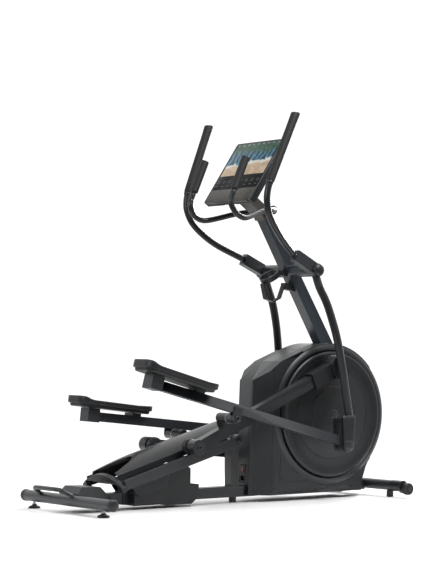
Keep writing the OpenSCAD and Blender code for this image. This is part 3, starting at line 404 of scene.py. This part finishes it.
def turned_about_y(points, pivot, degrees):
    """Points turned nose down about the Y axis through pivot."""
    turn = Matrix.Rotation(math.radians(degrees), 4, "Y")
    return [turn @ (Vector(p) - pivot) + pivot for p in points]


def rounded_outline(length, width, radius, per_corner=12, per_side=14):
    """A rounded rectangle's points, anticlockwise, with points spread along its sides."""
    hx, hy = length / 2 - radius, width / 2 - radius
    points = []
    corners = ((hx, hy, 0), (-hx, hy, 90), (-hx, -hy, 180), (hx, -hy, 270))
    for k, (cx, cy, start) in enumerate(corners):
        arc = [(cx + radius * math.cos(math.radians(start + 90 * i / per_corner)),
                cy + radius * math.sin(math.radians(start + 90 * i / per_corner)))
               for i in range(per_corner + 1)]
        points += arc
        nx, ny, turn = corners[(k + 1) % 4]
        first = (nx + radius * math.cos(math.radians(turn)), ny + radius * math.sin(math.radians(turn)))
        steps = per_side if k % 2 == 0 else 5
        points += [(arc[-1][0] + (first[0] - arc[-1][0]) * i / steps,
            arc[-1][1] + (first[1] - arc[-1][1]) * i / steps)
                   for i in range(1, steps)]
    return points


def rim_height(x):
    """High at the heel, a quick drop to the low sides, and a gentle rise to the toe."""
    rear = 1 / (1 + math.exp((x + pedal_length / 2 - 0.036) / 0.007))
    front = 1 / (1 + math.exp(-(x - pedal_length / 2 + 0.035) / 0.012))
    return 0.0285 + (heel_height - 0.0285) * rear + 0.006 * front


def tray_ring(inset, height, follow):
    """One loop of the tray: inset from the outline, at a height, part of the way up to the rim."""
    base = rounded_outline(pedal_length - 2 * inset, pedal_width - 2 * inset, 0.044 - inset)
    return [Vector((x, y, height + follow * rim_height(x))) for x, y in base]


tray_rings = [tray_ring(0.036, -0.0050, 0), tray_ring(0.020, -0.0055, 0), tray_ring(0.0150, -0.0050, 0),
              tray_ring(0.0130, -0.0030, 0), tray_ring(0.0115, 0.0020, 0), tray_ring(0.0105, 0.0075, 0),
              tray_ring(0.0080, 0.0090, 0), tray_ring(0.0030, 0.0094, 0), tray_ring(0.0012, 0.0105, 0),
              tray_ring(0.0004, 0.0130, 0.05), tray_ring(0.0, 0.0060, 0.60), tray_ring(0.0, 0.0, 0.93),
              tray_ring(0.0008, 0.0, 0.98),
              tray_ring(0.0026, 0.0, 1.0), tray_ring(0.0046, 0.0, 0.98), tray_ring(0.0058, 0.0, 0.92),
              tray_ring(0.0085, 0.0080, 0.40), tray_ring(0.0115, 0.0125, 0.08),
              tray_ring(0.0160, 0.0120, 0),
              tray_ring(0.036, 0.0110, 0)]
# degrees nose down at rest
pedal_slope = {"right": 16.05, "left": 7.29}
arm_slope = {"right": 15.05, "left": 6.29}
for side, s in SIDES:
    pivot = joint_at[side + "_pedal_tilt"].copy()
    pivot.y = 0
    seat = turned_about_y([pivot + Vector((-0.354, s * 0.266, 0.086))], pivot, arm_slope[side])[0]
    def place(points):
        """Points of the level tray, carried to its seat and sloped."""
        return turned_about_y([p + seat for p in points], seat, pedal_slope[side])

    tray = skin([place(ring) for ring in tray_rings], 40)
    own(tray, side + "_pedal_tray", pedal_nylon, side + "_pedal", [side + "_pedal"])
    studs = []
    for row in range(-3, 4):
        for k in range(15):
            x = -0.146 + 0.0208 * k + (0.0104 if row % 2 else 0)
            y = 0.0165 * row
            if abs(x) < 0.160 and abs(y) < 0.062:
                bpy.ops.mesh.primitive_cylinder_add(vertices=12, radius=0.0046, depth=0.0036,
                    location=place([Vector((x, y, 0.0124))])[0],
                                                    rotation=(0, math.radians(pedal_slope[side]), 0))
                stud = bpy.context.object
                round_edges(0.0011, 2)
                studs.append(stud)
    bpy.ops.object.select_all(action="DESELECT")
    for stud in studs:
        stud.select_set(True)
    bpy.context.view_layer.objects.active = studs[0]
    bpy.ops.object.join()
    bpy.ops.object.transform_apply(location=True, rotation=True, scale=True)
    bpy.ops.object.shade_smooth_by_angle(angle=math.radians(40))
    own(bpy.context.object, side + "_footbed_studs", stud_rubber, side + "_pedal")

# ---- Moving handles' grips ----
# Closed-cell foam sleeves over the swinging handles, a little flattened, with a flared and
# slanted end cap; the fixed bars carry shorter, straight ones.
foam = satin_coat("EVA_foam_moulded_black", colour("#141517"), colour("#1d1f21"), 1.8, 0.62, 0, 0, 0.5, 1.2)
swing_centre = Vector((joint_at["stride"].x, 0, joint_at["stride"].z))
left_turn = -3.368  # degrees from the right arm's place at rest to the left arm's


def tube_rings(centres, sizes, around=28):
    """Rings across a run of centres; each size is (half depth, half width, forward slant)."""
    rings = []
    for k, (c, size) in enumerate(zip(centres, sizes)):
        ahead = (centres[min(k + 1, len(centres) - 1)] - centres[max(k - 1, 0)]).normalized()
        fore = Vector((1, 0, 0))
        fore = (fore - fore.dot(ahead) * ahead).normalized()
        wide = ahead.cross(fore)
        rings.append([c + size[0] * math.cos(a) * fore + size[1] * math.sin(a) * wide
                      + size[2] * math.cos(a) * ahead
                      for a in (2 * math.pi * i / around for i in range(around))])
    return rings


def run(low, high, shares):
    return [low + (high - low) * t for t in shares]


for side, s in SIDES:
    low, high = Vector((-0.0245, s * 0.303, 1.467)), Vector((0.124, s * 0.306, 1.789))
    if side == "left":
        low, high = turned_about_y([low, high], swing_centre, left_turn)
    shares = [0, 0.004, 0.012, 0.03, 0.25, 0.5, 0.75, 0.86, 0.93, 0.97, 0.985, 0.99]
    sizes = [(0.0165, 0.0165, 0), (0.0180, 0.0180, 0), (0.0188, 0.0186, 0), (0.0195, 0.0190, 0),
        (0.0200, 0.0190, 0),
             (0.0202, 0.0190, 0), (0.0202, 0.0190, 0.001), (0.0206, 0.0192, 0.002), (0.0214, 0.0195, 0.004),
             (0.0219, 0.0194, 0.005), (0.0205, 0.0182, 0.006), (0.0165, 0.0145, 0.006)]
    own(skin(tube_rings(run(low, high, shares), sizes)), side + "_grip_sleeve", foam, side + "_arm",
        [side + "_grip"])
    cap_shares, cap_sizes = [0.972, 0.990, 0.9945, 0.9955], [(0.0195, 0.0172, 0.005),
        (0.0192, 0.0168, 0.006),
                                                          (0.0170, 0.0148, 0.006), (0.0110, 0.0095, 0.005)]
    own(skin(tube_rings(run(low, high, cap_shares), cap_sizes)), side + "_grip_cap", crown_abs,
        side + "_arm")
    ring_shares, ring_sizes = [-0.03, -0.026, -0.002, 0.003], [(0.0162, 0.0162, 0), (0.0172, 0.0172, 0),
        (0.0174, 0.0174, 0), (0.0165, 0.0165, 0)]
    own(skin(tube_rings(run(low, high, ring_shares), ring_sizes)), side + "_grip_collar", crown_abs,
        side + "_arm")
finished_copy("fixed_grips", foam, 3.0, 40, 3)

# ---- Console ----
# A wide tablet in a thin moulded case: glass over the picture and the touch strip, a woven
# speaker cloth below, a satin bar down each side, and a bulged back with cooling slots.
console_foot = Vector((-0.043, 0, 1.392))
console_lean = 34.8
console_width, console_height = 0.352, 0.350


def on_console(points):
    """Points (depth behind the face, across, up the face) set on the leaning console."""
    return turned_about_y([Vector(p) + console_foot for p in points], console_foot, console_lean)


def slab(x0, x1, y0, y1, z0, z1, radius, segments=3):
    """A box on the console, all its edges rounded."""
    bpy.ops.object.select_all(action="DESELECT")
    bpy.ops.mesh.primitive_cube_add(size=1, location=((x0 + x1) / 2, (y0 + y1) / 2, (z0 + z1) / 2))
    piece = bpy.context.object
    piece.scale = (x1 - x0, y1 - y0, z1 - z0)
    bpy.ops.object.transform_apply(location=True, rotation=True, scale=True)
    round_edges(radius, segments)
    for v, p in zip(piece.data.vertices, on_console([v.co for v in piece.data.vertices])):
        v.co = p
    piece.data.update()
    bpy.ops.object.shade_smooth_by_angle(angle=math.radians(34))
    return piece


console_abs = satin_coat("ABS_moulded_console_black", colour("#101114"), colour("#222428"), 1.0, 0.36, 0,
    0.1, 0.2)
side_bar_paint = satin_coat("aluminium_painted_satin_grey", colour("#1c1e21"), colour("#4a4d51"), 2.0, 0.34,
    0.3, 0.1, 0.1)
half = console_width / 2
own(slab(0.004, 0.030, -half, half, 0.0, console_height, 0.004), "console_case", console_abs, "console")
finished_copy("console_shell", console_abs, 2.0, 40, 2)
for s in (-1, 1):
    bar = slab(0.0, 0.033, s * (half + 0.0012) - 0.0035, s * (half + 0.0012) + 0.0035, 0.004,
        console_height - 0.004, 0.0022)
    own(bar, ("right" if s < 0 else "left") + "_console_bar", side_bar_paint, "console")

# the glass: picture above, touch strip below it, one sheet
display, tree = new_material("toughened_glass_over_lit_display")
uv = add(tree, "ShaderNodeUVMap", uv_map="face").outputs["UV"]
split = add(tree, "ShaderNodeSeparateXYZ", {"Vector": uv})
across, up = split.outputs["X"], split.outputs["Y"]


def math_node(op, a, b=0.0, c=0.0):
    return add(tree, "ShaderNodeMath", {0: a, 1: b, 2: c}, operation=op).outputs[0]


def mixed(factor, low_colour, high_colour):
    node = add(tree, "ShaderNodeMixRGB", {"Fac": factor, "Color1": low_colour, "Color2": high_colour})
    return node.outputs["Color"]


def band(value, low, high, soft):
    """1 between low and high, fading over soft."""
    up_edge = add(tree, "ShaderNodeMapRange", {"Value": value, "From Min": low - soft,
        "From Max": low + soft}).outputs[0]
    down_edge = add(tree, "ShaderNodeMapRange", {"Value": value, "From Min": high - soft,
        "From Max": high + soft,
                                                 "To Min": 1.0, "To Max": 0.0}).outputs[0]
    return math_node("MULTIPLY", up_edge, down_edge)


waves = add(tree, "ShaderNodeTexNoise", {"Vector": uv, "Scale": 7.0, "Detail": 6.0, "Distortion": 1.2})
streaks = add(tree, "ShaderNodeTexWave", {"Vector": uv, "Scale": 3.2, "Distortion": 9.0, "Detail": 4.0})
leaves = add(tree, "ShaderNodeTexVoronoi", {"Vector": uv, "Scale": 26.0})
# height of the shore line, rising to the right
shore = math_node("ADD", math_node("MULTIPLY", across, 0.10),
    math_node("MULTIPLY", waves.outputs["Fac"], 0.22))
shore = math_node("ADD", shore, 0.40)
above = add(tree, "ShaderNodeMapRange", {"Value": math_node("SUBTRACT", up, shore), "From Min": -0.015,
    "From Max": 0.03}).outputs[0]
water = mixed(streaks.outputs["Fac"], colour("#0c2638"), colour("#4c8099"))
foliage = mixed(leaves.outputs["Distance"], colour("#0d1c17"), colour("#3f6b52"))
far = mixed(add(tree, "ShaderNodeMapRange", {"Value": math_node("ADD", up,
    math_node("MULTIPLY", waves.outputs["Fac"], 0.3)),
                                            "From Min": 0.88, "From Max": 1.0}).outputs[0], water, foliage)
sand = mixed(waves.outputs["Fac"], colour("#8d7358"), colour("#e2cdb2"))
foam_line = band(math_node("SUBTRACT", up, shore), -0.03, 0.02, 0.02)
scene_colour = mixed(above, sand, far)
scene_colour = mixed(math_node("MULTIPLY", foam_line, 0.7), scene_colour, colour("#e9ecec"))
menu = band(up, 0.955, 0.975, 0.004)
dots = band(math_node("FRACT", math_node("MULTIPLY", across, 9.0)), 0.35, 0.65, 0.05)
scene_colour = mixed(math_node("MULTIPLY", math_node("MULTIPLY", menu, dots), 0.4), scene_colour,
    colour("#dfe6ea"))
lit = band(up, 0.295, 0.985, 0.0025)
lit = math_node("MULTIPLY", lit, band(across, 0.018, 0.982, 0.0015))
# generic key marks: a row of small rings and dashes on the strip
cell = math_node("FRACT", math_node("MULTIPLY", across, 8.0))
cell_x = math_node("SUBTRACT", cell, 0.5)
key_y = math_node("MULTIPLY", math_node("SUBTRACT", up, 0.165), 7.5)
key_r = math_node("SQRT", math_node("ADD", math_node("MULTIPLY", cell_x, cell_x),
    math_node("MULTIPLY", key_y, key_y)))
keys = band(key_r, 0.17, 0.21, 0.02)
dash = math_node("MULTIPLY", band(up, 0.070, 0.078, 0.003), band(cell, 0.3, 0.7, 0.03))
marks = math_node("MULTIPLY", math_node("MAXIMUM", keys, dash), math_node("LESS_THAN", up, 0.28))
glow = mixed(lit, colour("#08090b"), scene_colour)
glow = mixed(math_node("MULTIPLY", marks, 0.35), glow, colour("#c6ccd0"))
smear = add(tree, "ShaderNodeTexNoise", {"Vector": uv, "Scale": 5.0, "Detail": 3.0})
gloss = add(tree, "ShaderNodeMapRange", {"Value": smear.outputs["Fac"], "To Min": 0.22, "To Max": 0.34})
dark_glass = mixed(smear.outputs["Fac"], colour("#050607"), colour("#090a0c"))
close_material(tree, add(tree, "ShaderNodeBsdfPrincipled",
    {"Base Color": dark_glass, "Roughness": gloss.outputs[0],
    "Specular IOR Level": 0.12, "Emission Color": glow, "Emission Strength": 0.9}))
glass_low, glass_high, glass_half = 0.072, 0.344, half - 0.006
glass = slab(-0.0006, 0.0036, -glass_half, glass_half, glass_low, glass_high, 0.0006, 2)
glass.data.uv_layers.new(name="face")
flat = turned_about_y([v.co for v in glass.data.vertices], console_foot, -console_lean)
for corner in glass.data.loops:
    p = flat[corner.vertex_index] - console_foot
    glass.data.uv_layers["face"].data[corner.index].uv = ((glass_half - p.y) / (2 * glass_half),
                                                        (p.z - glass_low) / (glass_high - glass_low))
own(glass, "console_glass", display, "console", ["console_screen"])

cloth, tree = new_material("polyester_speaker_cloth_woven")
place = add(tree, "ShaderNodeTexCoord").outputs["Object"]
warp = add(tree, "ShaderNodeTexWave", {"Vector": place, "Scale": 260.0}, bands_direction="Y")
weft = add(tree, "ShaderNodeTexWave", {"Vector": place, "Scale": 260.0}, bands_direction="Z")
weave = add(tree, "ShaderNodeMath", {0: warp.outputs["Fac"], 1: weft.outputs["Fac"]}, operation="MULTIPLY")
cloud = add(tree, "ShaderNodeTexNoise", {"Vector": place, "Scale": 60.0, "Detail": 3.0})
thread = add(tree, "ShaderNodeMixRGB", {"Fac": weave.outputs[0], "Color1": colour("#2f2d2b"),
    "Color2": colour("#6c6761")})
tint = add(tree, "ShaderNodeMixRGB", {"Fac": cloud.outputs["Fac"], "Color1": thread.outputs[0],
    "Color2": colour("#55514c")})
relief = add(tree, "ShaderNodeBump", {"Height": weave.outputs[0], "Strength": 0.6, "Distance": 0.0006})
close_material(tree, add(tree, "ShaderNodeBsdfPrincipled",
    {"Base Color": tint.outputs[0], "Roughness": 0.85,
    "Sheen Weight": 0.2, "Normal": relief.outputs["Normal"]}))
own(slab(-0.001, 0.006, -glass_half, glass_half, 0.004, 0.0705, 0.0016, 2), "speaker_cloth", cloth,
    "console")
lip = slab(-0.002, 0.010, -half + 0.02, half - 0.02, -0.0045, 0.003, 0.0015, 2)
own(lip, "console_lower_lip", console_abs, "console")
for k in range(7):
    slot_piece = slab(0.0295, 0.0312, -0.14, 0.14, 0.225 + 0.013 * k, 0.2295 + 0.013 * k, 0.0006, 1)
    own(slot_piece, f"console_vent_{k}", foam, "console")
neck_abs = satin_coat("ABS_moulded_warm_grey", colour("#3a3733"), colour("#5a5650"), 1.4, 0.4, 0, 0.1, 0.2)
finished_copy("console_neck", neck_abs, 4.0, 40, 3)

# ---- Swing pivots, sockets and leg covers ----
# The pivot ends are closed by domed moulded caps over a thin dark seam; a tapered shoe with a
# round cap hides the fork and its bolt at the foot of each leg.
for side, s in SIDES:
    dome = [(0.0005, 0.0225), (0.010, 0.0220), (0.019, 0.0195), (0.026, 0.0150), (0.0305, 0.0090),
        (0.0318, 0.0040),
            (0.0318, 0.0008), (0.0005, 0.0008)]
    own(turned(dome, (swing_centre.x, s * 0.214, swing_centre.z), s, 64), side + "_pivot_dome", moulded_abs,
        side + "_arm")
    seam = [(0.0005, 0.0008), (0.0320, 0.0008), (0.0323, 0.0005), (0.0323, -0.0030), (0.0005, -0.0030)]
    own(turned(seam, (swing_centre.x, s * 0.216, swing_centre.z), s, 64), side + "_pivot_seam", foam,
        side + "_arm")
    foot = Vector((0.43527, s * 0.2944, 0.25966))
    shoe = []
    # outline stations from the round foot up to the mouth: (height, half width, thickness)
    stations = [(-0.0295, 0.006, 0.009), (-0.0275, 0.013, 0.013), (-0.021, 0.0205, 0.0155),
        (-0.010, 0.0266, 0.0168), (0.003, 0.0285, 0.0172),
                (0.030, 0.0298, 0.0172), (0.060, 0.0322, 0.0170), (0.095, 0.0352, 0.0166),
                (0.122, 0.0374, 0.0160), (0.134, 0.0370, 0.0140), (0.139, 0.0345, 0.010)]
    for height, wide, thick in stations:
        ring = []
        for i in range(32):
            a = 2 * math.pi * i / 32
            c, d = math.cos(a), math.sin(a)
            x = wide * (abs(c) ** 0.5) * (1 if c > 0 else -1)
            y = thick * (0.5 + 0.5 * (abs(d) ** 0.5) * (1 if d > 0 else -1))
            lean = 0.004 * height / 0.139
            ring.append(foot + Vector((x + lean, s * y, height)))
        shoe.append(ring)
    if side == "left":
        shoe = [turned_about_y(ring, swing_centre, left_turn) for ring in shoe]
        foot = turned_about_y([foot], swing_centre, left_turn)[0]
    own(skin(shoe, 50), side + "_leg_shoe", moulded_abs, side + "_arm",
        [side + "_leg_cover"])
    button = [(0.0005, 0.0215), (0.010, 0.0213), (0.0185, 0.0205), (0.0215, 0.0190), (0.0225, 0.0170),
        (0.0240, 0.0166),
              (0.0255, 0.0176), (0.0268, 0.0166), (0.0270, 0.0120), (0.0005, 0.0120)]
    own(turned(button, foot, s, 64), side + "_shoe_cap", crown_abs, side + "_arm")

# ---- Pins, bolts and bearings ----
# Black button-head bolts with a round recess; washers, the crank and swing axles in turned,
# zinc-plated steel with a fine grain.
steel, tree = new_material("mild_steel_turned_zinc_plated")
place = add(tree, "ShaderNodeTexCoord").outputs["Object"]
lathe = add(tree, "ShaderNodeTexNoise", {"Vector": place, "Scale": 900.0, "Detail": 2.0})
patch = add(tree, "ShaderNodeTexNoise", {"Vector": place, "Scale": 35.0, "Detail": 4.0})
tone = add(tree, "ShaderNodeMixRGB", {"Fac": patch.outputs["Fac"], "Color1": colour("#8a8d90"),
    "Color2": colour("#b4b7ba")})
rough = add(tree, "ShaderNodeMapRange", {"Value": patch.outputs["Fac"], "To Min": 0.22, "To Max": 0.42})
relief = add(tree, "ShaderNodeBump", {"Height": lathe.outputs["Fac"], "Strength": 0.15, "Distance": 0.0002})
close_material(tree, add(tree, "ShaderNodeBsdfPrincipled", {"Base Color": tone.outputs[0], "Metallic": 1.0,
    "Roughness": rough.outputs[0], "Normal": relief.outputs["Normal"]}))
bolt_steel = satin_coat("steel_black_oxide_bolt", colour("#17181a"), colour("#55585c"), 1.0, 0.32, 0.7, 0,
    0.15)


def bolt(name, centre, side, radius, body, height=0.005):
    """A button-head bolt with a round recess, facing out along Y."""
    r, h = radius, height
    head = turned([(0.42 * r, 0.45 * h), (0.42 * r, 0.97 * h), (0.55 * r, h), (0.78 * r, 0.86 * h),
        (0.95 * r, 0.5 * h),
                   (r, 0.12 * h), (r, -0.0006), (0.0005, -0.0006), (0.0005, 0.45 * h)], centre, side, 24,
                   40)
    return own(head, name, bolt_steel, body)


for side, s in SIDES:
    hub = joint_at[side + "_roller_arm_tilt"]
    end_plate = [(0.0105, 0.0000), (0.0105, 0.0022), (0.0260, 0.0024), (0.0268, 0.0012), (0.0280, 0.0012),
        (0.0290, 0.0026),
                 (0.0330, 0.0022), (0.0346, 0.0004), (0.0346, -0.0006), (0.0105, -0.0006)]
    own(turned(end_plate, (hub.x, s * 0.2070, hub.z), s, 64), side + "_hub_face", moulded_abs,
        side + "_roller_arm")
    bolt(side + "_hub_bolt", (hub.x, s * 0.2095, hub.z), s, 0.0115, side + "_carriage", 0.006)
    pin = joint_at[side + "_pedal_tilt"]
    bolt(side + "_pedal_pin_bolt", (pin.x, s * 0.2912, pin.z), s, 0.0125, side + "_pedal", 0.007)
    collar = [(0.0090, 0.0), (0.0235, 0.0), (0.0244, 0.0008), (0.0244, 0.0042), (0.0235, 0.005),
        (0.0090, 0.005)]
    own(turned(collar, (pin.x, s * 0.2318, pin.z), s, 48), side + "_pedal_pin_washer", steel,
        side + "_pedal")
for k, s in enumerate((-1, 1)):
    pivot = joint_at["ramp_incline"]
    bolt(f"ramp_pivot_bolt_{k}", (pivot.x, s * 0.1572, pivot.z), s, 0.0125, "frame", 0.003)
for name in ("crank_axle", "swing_axle", "lift_screw", "right_roller_axle", "left_roller_axle",
    "crank_bearings"):
    coat(name, steel)

# ---- Ramp rollers and bushes ----
# Each roller is a ribbed polyurethane tyre on a steel axle; the bush beside it is sintered
# bronze, oily and slightly mottled.
urethane = satin_coat("polyurethane_moulded_black", colour("#111214"), colour("#202225"), 1.0, 0.38, 0, 0,
    0.25)
bronze = satin_coat("bronze_sintered", colour("#8c7a4c"), colour("#b7a572"), 1.2, 0.42, 0.9, 0, 0.2)
for side, s in SIDES:
    hub = joint_at[side + "_roller_spin"]
    tyre = [(0.0102, -0.014)] + [(0.030, -0.014), (0.0345, -0.0125)]
    for k in range(5):
        y = -0.0115 + 0.0046 * k
        tyre += [(0.0352, y), (0.036, y + 0.0010), (0.036, y + 0.0030), (0.0352, y + 0.0040)]
    tyre += [(0.0345, 0.0125), (0.030, 0.014), (0.0102, 0.014)]
    own(turned(tyre, (hub.x, s * 0.132, hub.z), s, 64), side + "_roller_tyre", urethane, side + "_roller",
        [side + "_ramp_roller"])
    coat(side + "_roller_bush", bronze)

# ---- Feet and transport wheels ----
# Screwed levelling feet in black rubber with a zinc nut, and two hard rubber wheels on the
# front tube for rolling the tilted machine away.
rubber = satin_coat("natural_rubber_moulded_black", colour("#141415"), colour("#1f2021"), 1.6, 0.6, 0, 0,
    0.4)
for side, s in SIDES:
    foot = joint_at[side + "_levelling_foot_turn"]
    pad = [(0.0005, 0.0), (0.0245, 0.0), (0.0265, 0.0015), (0.0270, 0.0040), (0.0262, 0.0065),
        (0.0235, 0.0090), (0.0165, 0.0115),
           (0.0110, 0.0140), (0.0100, 0.0180), (0.0005, 0.0180)]
    rings = [[Vector((foot.x + r * math.cos(2 * math.pi * k / 48),
        foot.y + r * math.sin(2 * math.pi * k / 48), z))
              for r, z in pad] for k in range(48)]
    own(skin(rings, 40, loop=True), side + "_foot_pad", rubber, side + "_levelling_foot",
        [side + "_levelling_foot"])
    for name, corners, r, z0, z1 in (("nut", 6, 0.0095, 0.0182, 0.0245),
        ("stem", 20, 0.005, 0.0175, 0.042)):
        bpy.ops.object.select_all(action="DESELECT")
        bpy.ops.mesh.primitive_cylinder_add(vertices=corners, radius=r, depth=z1 - z0,
            location=(foot.x, foot.y, (z0 + z1) / 2))
        bpy.ops.object.transform_apply(location=True, rotation=True, scale=True)
        round_edges(0.0007, 2)
        own(bpy.context.object, f"{side}_foot_{name}", steel, side + "_levelling_foot")
    wheel = joint_at[side + "_transport_wheel_spin"]
    tread = [(0.0061, -0.013), (0.010, -0.013), (0.012, -0.0112), (0.020, -0.0108), (0.0225, -0.013),
        (0.0258, -0.0128), (0.0282, -0.0108), (0.0290, -0.007),
             (0.0290, -0.001), (0.0284, 0.0), (0.0290, 0.001), (0.0290, 0.007), (0.0282, 0.0108),
             (0.0258, 0.0128),
             (0.0225, 0.013), (0.020, 0.0108), (0.012, 0.0112), (0.010, 0.013), (0.0061, 0.013)]
    own(turned(tread, (wheel.x, wheel.y, wheel.z), s, 64), side + "_wheel_tread", rubber,
        side + "_transport_wheel",
        [side + "_transport_wheel"])

# ---- Inside the housing ----
# A machined cast-iron flywheel, enamelled pulleys, brake and lift motor, a rubber belt and the
# black screws that hold the covers.
iron = satin_coat("cast_iron_machined", colour("#5d6064"), colour("#84878b"), 1.5, 0.38, 0.85, 0, 0.25)
painted = satin_coat("mild_steel_enamelled_grey", colour("#4c5054"), colour("#6d7175"), 2.5, 0.35, 0.2, 0.2)
for name, material in (("flywheel", iron), ("drive_pulley", painted), ("idler_pulley", painted),
    ("resistance_brake", painted),
                       ("incline_motor", painted), ("drive_belt", rubber), ("shroud_screws", bolt_steel)):
    coat(name, material)

# ---- Power inlet and switch ----
# A moulded nylon inlet and a glossy red rocker, low on the rear of the housing.
inlet_nylon = satin_coat("nylon_moulded_black", colour("#0f1011"), colour("#1c1d1f"), 1.0, 0.5, 0, 0, 0.2)
rocker_red = satin_coat("polycarbonate_moulded_red", colour("#7c1515"), colour("#a03030"), 1.0, 0.2, 0, 0.4,
    0.05)
finished_copy("power_inlet", inlet_nylon, 0.8, 40, 2)
finished_copy("power_switch", rocker_red, 1.0, 40, 3)
